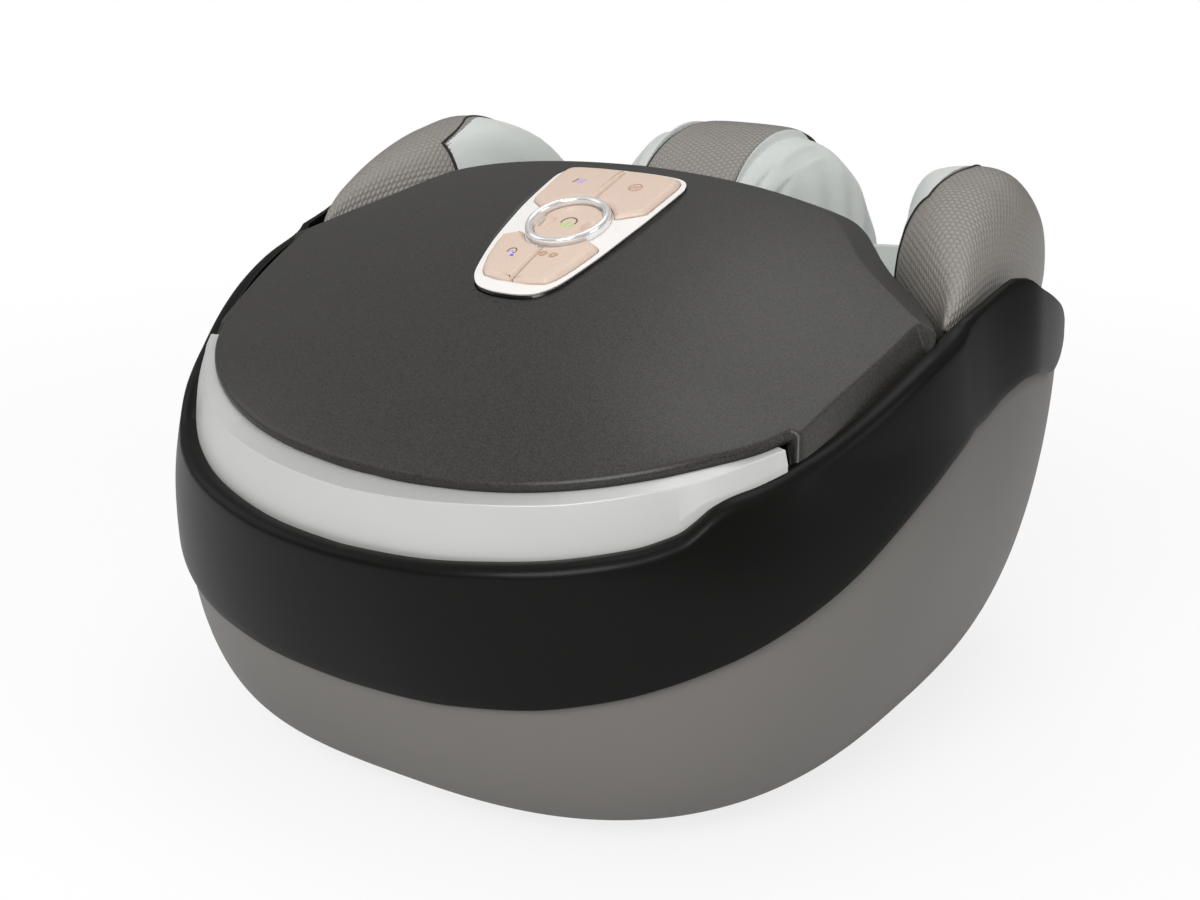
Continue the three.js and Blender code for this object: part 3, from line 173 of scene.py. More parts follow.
def finish_mesh(bm, name, material, body="housing", smooth=True):
    """Turns a bmesh in millimetres into an object in metres that rides on a body."""
    bmesh.ops.scale(bm, vec=Vector((MM, MM, MM)), verts=bm.verts)
    mesh = mesh_from(bm, name)
    if smooth:
        mesh.shade_smooth()
    mesh.materials.append(material)
    piece = placed(name, mesh)
    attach(piece, body)
    return piece


def bent_sheet(columns, rows, place, capped=True, chart=None):
    """A grid whose vertex at shares (across, up) of the sheet goes to place(across, up)."""
    bm = bmesh.new()
    uv = bm.loops.layers.uv.new("UVMap")
    bmesh.ops.create_grid(bm, x_segments=columns, y_segments=rows, size=0.5)
    for face in bm.faces if chart else ():
        for loop in face.loops:
            loop[uv].uv = chart(loop.vert.co.x + 0.5, loop.vert.co.y + 0.5)
    for vert in bm.verts:
        vert.co = place(vert.co.x + 0.5, vert.co.y + 0.5)
    bmesh.ops.remove_doubles(bm, verts=bm.verts, dist=WELD)
    if capped:
        edges = [edge for edge in bm.edges if edge.is_boundary]
        bmesh.ops.holes_fill(bm, edges=edges, sides=0)
    bmesh.ops.recalc_face_normals(bm, faces=bm.faces)
    return bm


def sheet_through(grid, across_closes=False, up_closes=False, **settings):
    """A sheet through given points, listed column by column, each column from its foot up."""
    columns, rows = len(grid) - (not across_closes), len(grid[0]) - (not up_closes)

    def place(across, up):
        return grid[round(across * columns) % len(grid)][round(up * rows) % len(grid[0])]

    return bent_sheet(columns, rows, place, **settings)


def thicken(piece, thickness, outwards=False):
    """Gives a skin its wall, in millimetres."""
    wall = piece.modifiers.new("wall", "SOLIDIFY")
    wall.thickness, wall.offset = thickness * MM, 1 if outwards else -1


def soften_edges(piece, width, angle):
    """Bevels the edges at which two faces meet at more than the angle."""
    bevel = piece.modifiers.new("soft edges", "BEVEL")
    bevel.width, bevel.segments = width * MM, 2
    bevel.limit_method, bevel.angle_limit = "ANGLE", math.radians(angle)
    bevel.harden_normals = True


def mirrored_copy(piece, name):
    """The same piece on the other side of the plane x = 0, with its faces still pointing out."""
    bm = bmesh.new()
    bm.from_mesh(piece.data)
    bmesh.ops.scale(bm, vec=Vector((-1, 1, 1)), verts=bm.verts)
    bmesh.ops.reverse_faces(bm, faces=bm.faces)
    mesh = mesh_from(bm, name)
    mesh.shade_smooth()
    for material in piece.data.materials:
        mesh.materials.append(material)
    copy = placed(name, mesh)
    for made in piece.modifiers:
        twin = copy.modifiers.new(made.name, made.type)
        for setting in made.bl_rna.properties:
            if not setting.is_readonly and setting.identifier not in ("name", "show_expanded"):
                setattr(twin, setting.identifier, getattr(made, setting.identifier))
    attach(copy, body_of(piece)[0])
    return copy


print("helpers ready")

# %% [markdown]
# ## Finishes
# The machine has few finishes and each repeats on several pieces: satin moulded plastics with a fine
# grain, a speckled charcoal paint, silver and plated trim, embossed leather and knitted fabric. Effects
# that repeat live in node groups: `grain` gives the fine tooth of moulded plastic, `drift` a slow change
# of tone across a large surface, such as handling and light dust leave.

# %% Node groups
def new_group(name, inputs, outputs):
    group = bpy.data.node_groups.new(name, "ShaderNodeTree")
    for label, kind, value in inputs:
        socket = group.interface.new_socket(label, in_out="INPUT", socket_type=kind)
        if value is not None:
            socket.default_value = value
    for label, kind in outputs:
        group.interface.new_socket(label, in_out="OUTPUT", socket_type=kind)
    return group, group.nodes.new("NodeGroupInput"), group.nodes.new("NodeGroupOutput")


def feed(tree, node, values):
    """Sets each named input to a plain value, or links it to another node's output."""
    for label, value in values.items():
        if isinstance(value, bpy.types.NodeSocket):
            tree.links.new(value, node.inputs[label])
        else:
            node.inputs[label].default_value = value
    return node


def new_node(tree, kind, values, **settings):
    node = tree.nodes.new("ShaderNode" + kind)
    for setting, choice in settings.items():
        setattr(node, setting, choice)
    return feed(tree, node, values)


def math_node(tree, operation, *values, clamp=False):
    """The output of one Math node; each value is a number or another node's output."""
    return new_node(tree, "Math", dict(enumerate(values)), operation=operation, use_clamp=clamp).outputs[0]


FLOAT, VECTOR, COLOR = "NodeSocketFloat", "NodeSocketVector", "NodeSocketColor"

grain_group, grain_in, grain_out = new_group(
    "grain",
    [("Vector", VECTOR, None), ("Scale", FLOAT, 900.0), ("Roughness", FLOAT, 0.4), ("Spread", FLOAT, 0.06)],
    [("Height", FLOAT), ("Roughness", FLOAT), ("Speck", FLOAT)],
)
where, scale, plain, spread = grain_in.outputs[:4]
fine = new_node(grain_group, "TexNoise", {"Vector": where, "Scale": scale, "Detail": 2}).outputs["Fac"]
centred = math_node(grain_group, "SUBTRACT", fine, 0.5)
uneven = math_node(grain_group, "MULTIPLY_ADD", centred, spread, plain)
feed(grain_group, grain_out, {"Height": fine, "Roughness": uneven, "Speck": centred})

drift_group, drift_in, drift_out = new_group(
    "drift",
    [
        ("Vector", VECTOR, None), ("Color", COLOR, None), ("Scale", FLOAT, 9.0), ("Amount", FLOAT, 0.1),
        ("Speck", FLOAT, 0.0),
    ],
    [("Color", COLOR)],
)
where, colour, scale, amount, speck = drift_in.outputs[:5]
slow = new_node(drift_group, "TexNoise", {"Vector": where, "Scale": scale, "Detail": 3}).outputs["Fac"]
tone = math_node(drift_group, "SUBTRACT", slow, 0.5)
tone = math_node(drift_group, "MULTIPLY_ADD", tone, amount, 1.0)
tone = math_node(drift_group, "ADD", tone, speck)
scaled = new_node(drift_group, "VectorMath", {0: colour, "Scale": tone}, operation="SCALE")
feed(drift_group, drift_out, {"Color": scaled.outputs[0]})
print("groups:", [group.name for group in bpy.data.node_groups])

# %% [markdown]
# A maker's swatch gives a colour as the eye sees it, but a shader works in linear light, so `linear`
# turns one into the other. `moulded` makes any of the plain plastics from a swatch, a roughness and how
# strongly its grain shows. Gloss comes from the shader and the lights, never from painted highlights.

# %% Plain finishes
GRAIN_DEPTH = 0.00002


def linear(swatch):
    parts = [((swatch >> shift) & 255) / 255 for shift in (16, 8, 0)]
    return tuple(c / 12.92 if c <= 0.04045 else ((c + 0.055) / 1.055) ** 2.4 for c in parts) + (1.0,)


def place_group(tree, group, **values):
    return new_node(tree, "Group", values, node_tree=group)


def new_material(name):
    """A material, its node tree and its surface shader."""
    material = bpy.data.materials.new(name)
    material.use_nodes = True
    return material, material.node_tree, material.node_tree.nodes["Principled BSDF"]


def dress(tree, shader, colour, roughness, relief, depth, strength=1.0):
    """Gives a shader its colour, its roughness and a relief of so many metres."""
    bump = new_node(tree, "Bump", {"Height": relief, "Distance": depth, "Strength": strength})
    feed(tree, shader, {"Base Color": colour, "Roughness": roughness, "Normal": bump.outputs["Normal"]})


def moulded(name, swatch, roughness, metallic=0.0, specular=0.5, grain=900.0, tooth=0.06, drift=0.1,
            drift_scale=9.0, speck=0.0, coat=0.0):
    material, tree, shader = new_material(name)
    where = tree.nodes.new("ShaderNodeTexCoord").outputs["Object"]
    fine = {"Scale": grain, "Roughness": roughness, "Spread": tooth}
    fine = place_group(tree, grain_group, Vector=where, **fine).outputs
    speckle = math_node(tree, "MULTIPLY", fine["Speck"], speck)
    tint = {"Color": linear(swatch), "Scale": drift_scale, "Amount": drift, "Speck": speckle}
    tint = place_group(tree, drift_group, Vector=where, **tint).outputs["Color"]
    dress(tree, shader, tint, fine["Roughness"], fine["Height"], GRAIN_DEPTH)
    feed(tree, shader, {"Metallic": metallic, "Specular IOR Level": specular})
    feed(tree, shader, {"Coat Weight": coat, "Coat Roughness": 0.15})
    return material


grey_shell = moulded("grey_shell", 0x6C6966, 0.5, specular=0.3, drift=0.12, drift_scale=5.0, grain=1400.0)
black_band = moulded("black_band", 0x0A0908, 0.38, specular=0.12, coat=0.04, grain=1400.0, speck=0.35)
charcoal_lid = moulded("charcoal_lid", 0x302F2D, 0.36, specular=0.34, grain=1300.0, speck=2.4, drift=0.08)
silver_trim = moulded("silver_trim", 0xC0C0BE, 0.33, metallic=0.15, specular=0.4, grain=700.0, drift=0.08,
                      drift_scale=14.0)
white_bezel = moulded("white_bezel", 0xE8E5E2, 0.35, specular=0.5, drift=0.04)
rose_keys = moulded("rose_keys", 0xD3BDAD, 0.4, specular=0.5, grain=1600.0, speck=0.25, drift=0.06)
plated_ring = moulded("plated_ring", 0xEFEFEF, 0.16, metallic=0.65, grain=500.0, tooth=0.04, drift=0.05)
gloss_black = moulded("gloss_black", 0x0A0A0A, 0.22, specular=0.35, tooth=0.02)
black_rubber = moulded("black_rubber", 0x1B1B1B, 0.85, specular=0.3, drift=0.2, drift_scale=40.0)
bright_steel = moulded("bright_steel", 0xA9ABAD, 0.3, metallic=1.0, grain=300.0, tooth=0.2, drift=0.15,
                       drift_scale=30.0)
ivory_nylon = moulded("ivory_nylon", 0xE3DDCC, 0.5, drift=0.08, drift_scale=30.0)
dark_nylon = moulded("dark_nylon", 0x3E4043, 0.6, drift=0.15, drift_scale=30.0)
board_green = moulded("board_green", 0x2F5D3A, 0.45, drift=0.3, drift_scale=120.0, speck=0.4)
heater_foil = moulded("heater_foil", 0xB5793F, 0.35, metallic=0.4, drift=0.3, drift_scale=60.0)
print(len(bpy.data.materials), "materials so far")

# %% [markdown]
# ### Embossed leather
# The cushions' synthetic leather is pressed with rows of small overlapping scales, about 3 mm across,
# each row shifted by half a scale. The pattern has to follow the cushion, so it reads the UV map, which
# holds millimetres along the surface. A scale is a dome cut by the circles of its neighbours: a few Math
# nodes give its height, which feeds the bump, and painted shade darkens the colour in the groove between
# scales.

# %% The leather's scale pattern
SCALE_SIZE, HEXAGON = 3.1, 3**0.5
scales_group, scales_in, scales_out = new_group(
    "scales",
    [("Vector", VECTOR, None), ("Size", FLOAT, SCALE_SIZE)],
    [("Height", FLOAT), ("Groove Shade", FLOAT)],
)
where, size = scales_in.outputs[:2]
whole = new_node(scales_group, "CombineXYZ", {axis: size for axis in range(3)}).outputs[0]
sized = new_node(scales_group, "VectorMath", {0: where, 1: whole}, operation="DIVIDE").outputs[0]
aside, upwards, _ = new_node(scales_group, "SeparateXYZ", {0: sized}).outputs


def dome_height(tree, across, up, shift):
    """Height of the nearest dome of one lattice of domes, shifted by a share of a scale both ways."""
    shifted = [math_node(tree, "ADD", axis, shift) for axis in (across, up)]
    x, y = (math_node(tree, "SUBTRACT", math_node(tree, "FRACT", axis), 0.5) for axis in shifted)
    y = math_node(tree, "MULTIPLY", y, HEXAGON)
    square = math_node(tree, "ADD", math_node(tree, "MULTIPLY", x, x), math_node(tree, "MULTIPLY", y, y))
    ridge = math_node(tree, "MULTIPLY_ADD", square, -3.0, 1.0)
    return math_node(tree, "MULTIPLY_ADD", y, -0.3, ridge)


upwards = math_node(scales_group, "MULTIPLY", upwards, 1 / HEXAGON)
both_rows = [dome_height(scales_group, aside, upwards, shift) for shift in (0.0, 0.5)]
dome = math_node(scales_group, "MAXIMUM", *both_rows)
# The groove mask only darkens the colour: it is painted shade in the grooves between scales.
groove = math_node(scales_group, "MULTIPLY_ADD", dome, -2.2, 1.6, clamp=True)
feed(scales_group, scales_out, {"Height": dome, "Groove Shade": groove})
print("scale size", SCALE_SIZE, "mm")

# %% The leather and the fabrics
def soft_material(name, sheen):
    material, tree, shader = new_material(name)
    feed(tree, shader, {"Sheen Weight": sheen, "Sheen Roughness": 0.4, "Specular IOR Level": 0.4})
    chart = tree.nodes.new("ShaderNodeTexCoord").outputs
    return material, tree, shader, chart["UV"], chart["Object"]


taupe_leather, tree, shader, chart, where = soft_material("taupe_leather", 0.0)
scales = place_group(tree, scales_group, Vector=chart, Size=SCALE_SIZE).outputs
pores = place_group(tree, grain_group, Vector=where, Scale=2500.0, Roughness=0.32, Spread=0.1).outputs
# Painted shade: the colour darkens in the grooves between the scales.
painted_groove_shade = math_node(tree, "MULTIPLY", scales["Groove Shade"], -0.14)
tint = {"Color": linear(0x8C8781), "Scale": 14.0, "Amount": 0.12, "Speck": painted_groove_shade}
tint = place_group(tree, drift_group, Vector=where, **tint).outputs["Color"]
relief = math_node(tree, "MULTIPLY_ADD", pores["Height"], 0.12, scales["Height"])
dress(tree, shader, tint, pores["Roughness"], relief, 0.0005)

# %% [markdown]
# The cuffs and the lining are a fine knitted fabric over thin foam. Its loops are far too small to model,
# so two crossed wave patterns on the UV map give the knit, and a little sheen softens it at grazing
# angles.

# %% The knitted fabric
white_fabric, tree, shader, chart, where = soft_material("white_fabric", 0.2)
waves = {"Vector": chart, "Scale": 0.35, "Distortion": 1.2, "Detail": 1}
knit = [new_node(tree, "TexWave", waves, bands_direction=turn).outputs["Fac"] for turn in ("X", "Y")]
loops = math_node(tree, "MULTIPLY", *knit)
fuzz = place_group(tree, grain_group, Vector=where, Scale=1800.0, Roughness=0.9, Spread=0.1).outputs
paler = math_node(tree, "MULTIPLY", fuzz["Speck"], 0.12)
tint = {"Color": linear(0xC9CDCA), "Scale": 22.0, "Amount": 0.16, "Speck": paler}
tint = place_group(tree, drift_group, Vector=where, **tint).outputs["Color"]
relief = math_node(tree, "ADD", math_node(tree, "MULTIPLY", loops, 0.6), fuzz["Height"])
dress(tree, shader, tint, fuzz["Roughness"], relief, 0.00015, 0.8)
# The dark cord colour: real seams and piping, and round the outer cuffs also painted shade in the gap
# beside the cuff.
seam_and_shade_black = moulded("seam_and_shade_black", 0x2A2827, 0.7, specular=0.3, grain=2500.0, drift=0.15)
print("soft finishes:", taupe_leather.name, white_fabric.name)

# %% [markdown]
# ## Carried-over solids
# Hidden works, the feet and the screws keep their solids. Each takes the finish of its own material slot
# in the record, so nothing is left in a plain colour.

# %% Finish the solids that stay
finish_of_slot = {
    "grey_plastic": grey_shell, "black_plastic": black_band, "lid_plastic": charcoal_lid,
    "silver_plastic": silver_trim, "white_plastic": white_bezel, "rose_plastic": rose_keys,
    "chrome_plate": plated_ring, "taupe_leather": taupe_leather, "white_fabric": white_fabric,
    "black_rubber": black_rubber, "steel": bright_steel, "ivory_nylon": ivory_nylon,
    "dark_nylon": dark_nylon, "board_green": board_green, "heater_foil": heater_foil,
}
for part in frame["record"]["subparts"]:
    node = frame["nodes"][part["node"]]
    node.data.materials.clear()
    node.data.materials.append(finish_of_slot[part["material_slot"]])

# %% [markdown]
# ## The tub
# The tub is a deep bowl: nearly oval in plan, squarer at the back, and its sides swell out from a flat
# base until they stand upright under the band. Three growth curves say how far the sides, the toe end and
# the rear have swelled at a height: the reach at the foot, the swell above it and its power. A rounded plan
# curve joins them. Every moulding that touches the tub's skin uses the same function, moved in or out a
# little, so pieces fit without measuring.

# %% The tub's skin
FOOT_HEIGHT, SHELL_RISE, BODY_Y = 8, 164.5, -7.23
SIDE_GROWTH, FRONT_GROWTH, REAR_GROWTH = (137, 64, 2.07), (142.8, 51.2, 2.34), (182, 29, 2.25)
HALF_WIDTH, FRONT_DEPTH, REAR_DEPTH = (sum(row[:2]) for row in (SIDE_GROWTH, FRONT_GROWTH, REAR_GROWTH))
DRAWN_IN = 833
FRONT_PLAN, REAR_PLAN = (2.81, -0.84), (2.86, 0.26)
LEAN_START, LEAN_SPAN, LEAN_MOST, LEAN_FADE = 115.0, 60.0, 14.0, (-1.0, 8.0)


def smoothstep(low, high, value):
    t = min(max((value - low) / (high - low), 0), 1)
    return t * t * (3 - 2 * t)


def folded(turn):
    """The same turn on the right half, because both halves share one table."""
    turn = (turn + 180) % 360 - 180
    return 180 - turn if turn > 90 else -180 - turn if turn < -90 else turn


def level_at(height):
    """Nought at the foot of the tub's side and one where it stands upright."""
    return min(max((height - FOOT_HEIGHT) / SHELL_RISE, 0), 1)


def lean_in(turn, height):
    """Millimetres by which the front half's upper flanks lean in towards the lid."""
    above = max(height - LEAN_START, 0)
    most = LEAN_MOST * (1 - smoothstep(*LEAN_FADE, folded(turn)))
    return most * above**2 / (above**2 + LEAN_SPAN**2)


def tub_point(turn, height, out=0.0, leaning=True):
    """A point on the tub's skin; the turn is in degrees, -90 at the toe end, and out is off the skin."""
    level, angle = level_at(height), math.radians(turn)
    c, s = math.cos(angle), math.sin(angle)

    def grown(at_foot, swell, power):
        return at_foot + swell * (1 - (1 - level) ** power) ** (1 / power)

    plan = FRONT_PLAN if s < 0 else REAR_PLAN
    power = 2 / (plan[0] + plan[1] * level)
    above = max(height - FOOT_HEIGHT - SHELL_RISE, 0)
    reach_x = grown(*SIDE_GROWTH) - above**2 / DRAWN_IN + out
    if leaning:
        reach_x -= lean_in(turn, height)
    reach_y = grown(*FRONT_GROWTH if s < 0 else REAR_GROWTH) + out
    x = math.copysign(reach_x * abs(c) ** power, c) if abs(c) > 1e-9 else 0
    y = math.copysign(reach_y * abs(s) ** power, s) if abs(s) > 1e-9 else 0
    return Vector((x, BODY_Y + y, height))


print("widest at", [round(c, 1) for c in tub_point(0, 172.5)])

# %% [markdown]
# The band's lower edge and its rim rise from the toe end to the shoulders. Their heights, as shares of the
# band's top height, are stations at up to thirty turns round the tub.

# %% Lines of the band and the trim
BAND_TOP = 229.6
BAND_FOOT = [
    (-90, 0.309), (-81, 0.316), (-74.5, 0.327), (-67.2, 0.34), (-60, 0.36), (-54.6, 0.377),
    (-49.2, 0.398), (-43.8, 0.422), (-38.3, 0.449), (-32.9, 0.483), (-27.4, 0.524), (-22.7, 0.564),
    (-19.2, 0.597), (-13.7, 0.644), (-7.2, 0.692), (0.2, 0.74), (2.1, 0.766), (3.7, 0.779), (5.3, 0.788),
    (8.8, 0.782), (13.5, 0.762), (17, 0.772), (20, 0.795), (22.3, 0.812),
]
BAND_RIM = [
    (-90, 0.586), (-80, 0.592), (-71, 0.604), (-62.8, 0.616), (-56.6, 0.629), (-51.8, 0.641),
    (-48.6, 0.654), (-46.7, 0.664), (-44.7, 0.683), (-42.8, 0.703), (-40.2, 0.72), (-36.9, 0.733),
    (-31.8, 0.76), (-27.9, 0.782), (-22.9, 0.815), (-16, 0.859), (-9.6, 0.894), (-1.5, 0.93), (1, 0.958),
    (3, 0.979), (4.4, 0.989), (5.5, 0.986), (8.2, 0.958), (13.3, 0.919), (18.1, 0.882), (20.5, 0.854),
    (22.3, 0.84),
]
LEDGE_DROP = [
    (-90, 0.013), (-44, 0.013), (-37, 0.013), (-33, 0.012), (-27.5, 0.018), (-23, 0.031), (-17.5, 0.045),
    (-12.5, 0.056), (-8, 0.051), (-4.5, 0.046), (-0.5, 0.032), (1, 0.02), (2.5, 0.012), (23, 0.012),
]
LEDGE_REACH = [(-90, 16), (-4.5, 16), (-2, 12.5), (-0.5, 9.3), (0.3, 4.8), (1, 0.8), (1.8, 0.3), (23, 0.3)]
TRIM_FOOT = [
    (-90, 0.599), (-80, 0.604), (-68.5, 0.614), (-56.9, 0.636), (-51.5, 0.655), (-48.9, 0.668),
    (-46.6, 0.69), (-44.1, 0.713), (-40.7, 0.727), (-37.4, 0.744), (-34, 0.764), (-32.7, 0.775),
]
TRIM_RIDGE = [
    (-90, 0.687), (-80, 0.692), (-71.3, 0.699), (-62.8, 0.707), (-56.4, 0.718), (-50, 0.732),
    (-46.3, 0.739), (-43.6, 0.748), (-38.7, 0.77), (-34.2, 0.788), (-32.7, 0.793),
]


def line_height(table, turn, column=1):
    return BAND_TOP * along(table, folded(turn), column)


def band_foot(turn):
    return line_height(BAND_FOOT, turn)


def band_rim(turn):
    return line_height(BAND_RIM, turn)


def ledge_height(turn):
    return band_rim(turn) - line_height(LEDGE_DROP, turn)


print("rim runs from", round(band_rim(-90), 1), "to", round(band_rim(2.8), 1), "mm")

# %% [markdown]
# ### Lower shell
# One grey moulding: the sheet starts in the middle of the base, runs out to its edge, climbs the swelling
# side and tucks in behind the band, or ends in a free rim at the back. Rows crowd together near the base,
# where the skin bends most. Solidify gives the wall its 3 mm, inwards.

# %% Build the lower shell
SHELL_LAP, SHELL_WALL, REAR_RIM = 2.2, 3, 190
LAP_START, LAP_SHARE = 0.9, 0.33
BASE_SHARE, WALL_SHARE, WALL_CROWDING = 0.12, 0.86, 1.7
SHELL_RIM = [(-90, 0), (-9.9, 0), (-0.5, 1), (90, 1)]
LAP_FADE = [(-90, 1), (20.5, 1), (22.3, 0.9), (30, 0), (90, 0)]


def shell_rim(turn):
    behind_band = band_foot(turn) + LAP_SHARE * (band_rim(turn) - band_foot(turn))
    back = along(SHELL_RIM, folded(turn))
    return behind_band + (REAR_RIM - behind_band) * back


def shell_place(across, up):
    turn = -90 + 360 * across
    if up < BASE_SHARE:
        edge = tub_point(turn, FOOT_HEIGHT)
        middle = Vector((0, BODY_Y, FOOT_HEIGHT))
        return middle.lerp(edge, up / BASE_SHARE)
    lap = -SHELL_LAP * along(LAP_FADE, folded(turn))
    if up < WALL_SHARE:
        share = ((up - BASE_SHARE) / (WALL_SHARE - BASE_SHARE)) ** WALL_CROWDING
        return tub_point(turn, FOOT_HEIGHT + share * (band_foot(turn) - FOOT_HEIGHT))
    share = (up - WALL_SHARE) / (1 - WALL_SHARE)
    low = band_foot(turn) + LAP_START
    return tub_point(turn, low + share * (shell_rim(turn) - low), lap)


lower_shell = finish_mesh(bent_sheet(180, 50, shell_place, capped=False), "lower_shell_skin", grey_shell)
thicken(lower_shell, SHELL_WALL)
soften_edges(lower_shell, 0.8, 50)
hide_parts("lower_shell")
print("lower shell:", len(lower_shell.data.polygons), "faces")

# %% [markdown]
# ### Band
# The near-black band is a belt with a rounded rim. Its section runs up the outer wall, over the rim, down
# into the groove where the trim and the lid's walls stand, and in along a ledge. Sweeping one section
# whose corner radii change with the turn is simpler than joining separate fillets. Both ends close in a
# rounded lobe.

# %% Build the band
BAND_PROUD, RIM_RADIUS, RIM_EDGE, LEDGE_GROOVE = 3.5, 5.0, 1.6, 4.7
RIM_STRENGTH = [(-90, 1), (-3, 1), (1.5, 0), (23, 0)]
LOBE_START, LOBE_END = 19.2, 23.0


def arc(centre_out, centre_height, radius, start, stop, steps):
    """Corner points as (out, height), from one angle to another in degrees."""
    points = []
    for k in range(steps + 1):
        angle = math.radians(start + (stop - start) * k / steps)
        points.append((centre_out + radius * math.cos(angle), centre_height + radius * math.sin(angle)))
    return points


def band_section(turn):
    side = folded(turn)
    foot, rim, ledge = band_foot(turn), band_rim(turn), ledge_height(turn)
    strength = along(RIM_STRENGTH, side)
    round_over = RIM_EDGE + (RIM_RADIUS - RIM_EDGE) * strength
    reach = -along(LEDGE_REACH, side)
    inner = 0.3

    def mix(plain, full):
        return plain + (full - plain) * strength

    wall = [(BAND_PROUD, foot + 0.8 + k / 12 * (rim - round_over - foot - 0.8)) for k in range(13)]
    groove_out, groove_top = mix(inner, -LEDGE_GROOVE + 1.2), mix(rim - 0.5, rim - 1.2)
    section = [(inner, foot), (BAND_PROUD - 0.8, foot)]
    section += arc(BAND_PROUD - 0.8, foot + 0.8, 0.8, -90, -30, 2) + wall
    section += arc(BAND_PROUD - round_over, rim - round_over, round_over, 12, 90, 7)
    section += arc(groove_out, groove_top, mix(0.4, 1.2), 90, 180, 4)
    section += [
        (mix(inner, -LEDGE_GROOVE), mix(rim - RIM_EDGE, ledge + 0.2)),
        (mix(inner, -LEDGE_GROOVE - 0.3), mix(rim - 2, ledge)),
        (mix(inner, reach), mix(rim - 3, ledge)),
        (mix(inner, reach), mix(rim - 4.8, ledge - 3)),
        (mix(inner, BAND_PROUD - round_over - RIM_EDGE), mix(rim - 6.4, ledge - 3)),
        (inner, mix(rim - 8, ledge - 6)),
        (inner, foot + 0.5 * (rim - 8 - foot)),
    ]
    closing = min(max((side - LOBE_START) / (LOBE_END - LOBE_START), 0), 1)
    shrink = math.sqrt(max(1 - closing**2.4, 0.0004))
    middle = foot + 0.42 * (rim - foot)
    return [
        (inner + (out - inner) * shrink**0.5, middle + (height - middle) * shrink)
        for out, height in section
    ]


BAND_COLUMNS = 300
BAND_SWEEP = 180 + 2 * LOBE_END
band_turns = [-180 - LOBE_END + BAND_SWEEP * k / BAND_COLUMNS for k in range(BAND_COLUMNS + 1)]
band_grid = [[tub_point(turn, height, out) for out, height in band_section(turn)] for turn in band_turns]
mid_band = finish_mesh(sheet_through(band_grid, up_closes=True), "mid_band_skin", black_band)
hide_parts("mid_band")
print("band:", len(band_grid[0]), "points in its section")

# %% [markdown]
# The deck under the cushions keeps its own mesh, drawn in a little where the tub's flanks lean in.

# %% Fit the deck
DECK_PLAY = 0.8
deck_mesh = bmesh.new()
deck_mesh.from_mesh(frame["nodes"]["inner_deck"].data)
for vert in deck_mesh.verts:
    x, y, height = (1000 * c for c in vert.co)
    plan, depth = (FRONT_PLAN, FRONT_DEPTH) if y < BODY_Y else (REAR_PLAN, REAR_DEPTH)
    share = min(abs(y - BODY_Y) / depth, 1) ** ((plan[0] + plan[1] * level_at(height)) / 2)
    turn = math.copysign(math.degrees(math.asin(share)), y - BODY_Y)
    skin = tub_point(turn, height, -SHELL_WALL - DECK_PLAY)
    vert.co = Vector((math.copysign(min(abs(x), skin.x), x), y, height))
inner_deck = finish_mesh(deck_mesh, "inner_deck_plate", dark_nylon, smooth=False)
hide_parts("inner_deck")
print("deck:", len(inner_deck.data.polygons), "faces")

# %% [markdown]
# ### Lid
# The lid is a broad shield. Its top follows one height formula: a climb from the toe end that bulges a
# little, less a drop towards the sides. Its outline has three lines: the rolled front lip, the straight
# side walls that stand on the band's ledge, and the wavy rear edge with a collar and a skirt down to the
# deck.

# %% The lid's surface
LID_FRONT, LID_LENGTH, LID_HALF = -171, 204, 178
LID_START, LID_CLIMB, LID_BULGE, LID_DROP = 165, 94, 0.44, 26
PANEL_Y, PANEL_Z, PANEL_TILT = -30.4, 238.8, math.radians(20.5)
PANEL_HALF_WIDTH, PANEL_HALF_LENGTH = 36.6, 55.8


def panel_sag(x, y):
    return 1.85 * (y / PANEL_HALF_LENGTH) ** 2 + 0.64 * (x / PANEL_HALF_WIDTH) ** 2


def plain_lid_height(x, y):
    v = (y - LID_FRONT) / LID_LENGTH
    front = smoothstep(0, 1, -(v - 0.373) / 0.22)
    drop = LID_DROP * (abs(x) / LID_HALF) ** (2.3 + front)
    return LID_START + LID_CLIMB * (v + LID_BULGE * v * (1 - v)) - drop


ISLAND_SHARE, ISLAND_MOST = 0.15, 3.0
ISLAND = [(-90, 56), (-75, 55.5), (-62, 54), (-48, 48), (-34, 44), (-17, 44), (5, 46.5), (40, 60), (90, 66)]


def island_reach(angle):
    """How far the raised island round the panel reaches from the panel's middle, in plan."""
    return along(ISLAND, folded(math.degrees(angle)))


def lid_height(x, y):
    """The lid's height, with the low island that carries the key panel."""
    plain = plain_lid_height(x, y)
    along_slope = (y - PANEL_Y) / math.cos(PANEL_TILT)
    sag = panel_sag(x, along_slope) / math.cos(PANEL_TILT)
    panel = PANEL_Z + math.tan(PANEL_TILT) * (y - PANEL_Y) - sag
    distance = math.hypot(x, y - PANEL_Y) - island_reach(math.atan2(y - PANEL_Y, x))
    inside = 1 - smoothstep(-0.6, 0.9, distance)
    towards_front = 1 - smoothstep(-32, -2, y)
    return plain + ISLAND_SHARE * min(max(panel - 0.1 - plain, 0), ISLAND_MOST) * inside * towards_front


print("lid at the panel:", round(lid_height(0, PANEL_Y), 1), "mm high")

# %% [markdown]
# The outline is laid down column by column. Each column knows its place on the outline and how far its
# wall stands out from there. The front follows the trim, the side walls stand on the ledge, and the rear
# edge swings round the two leg openings.

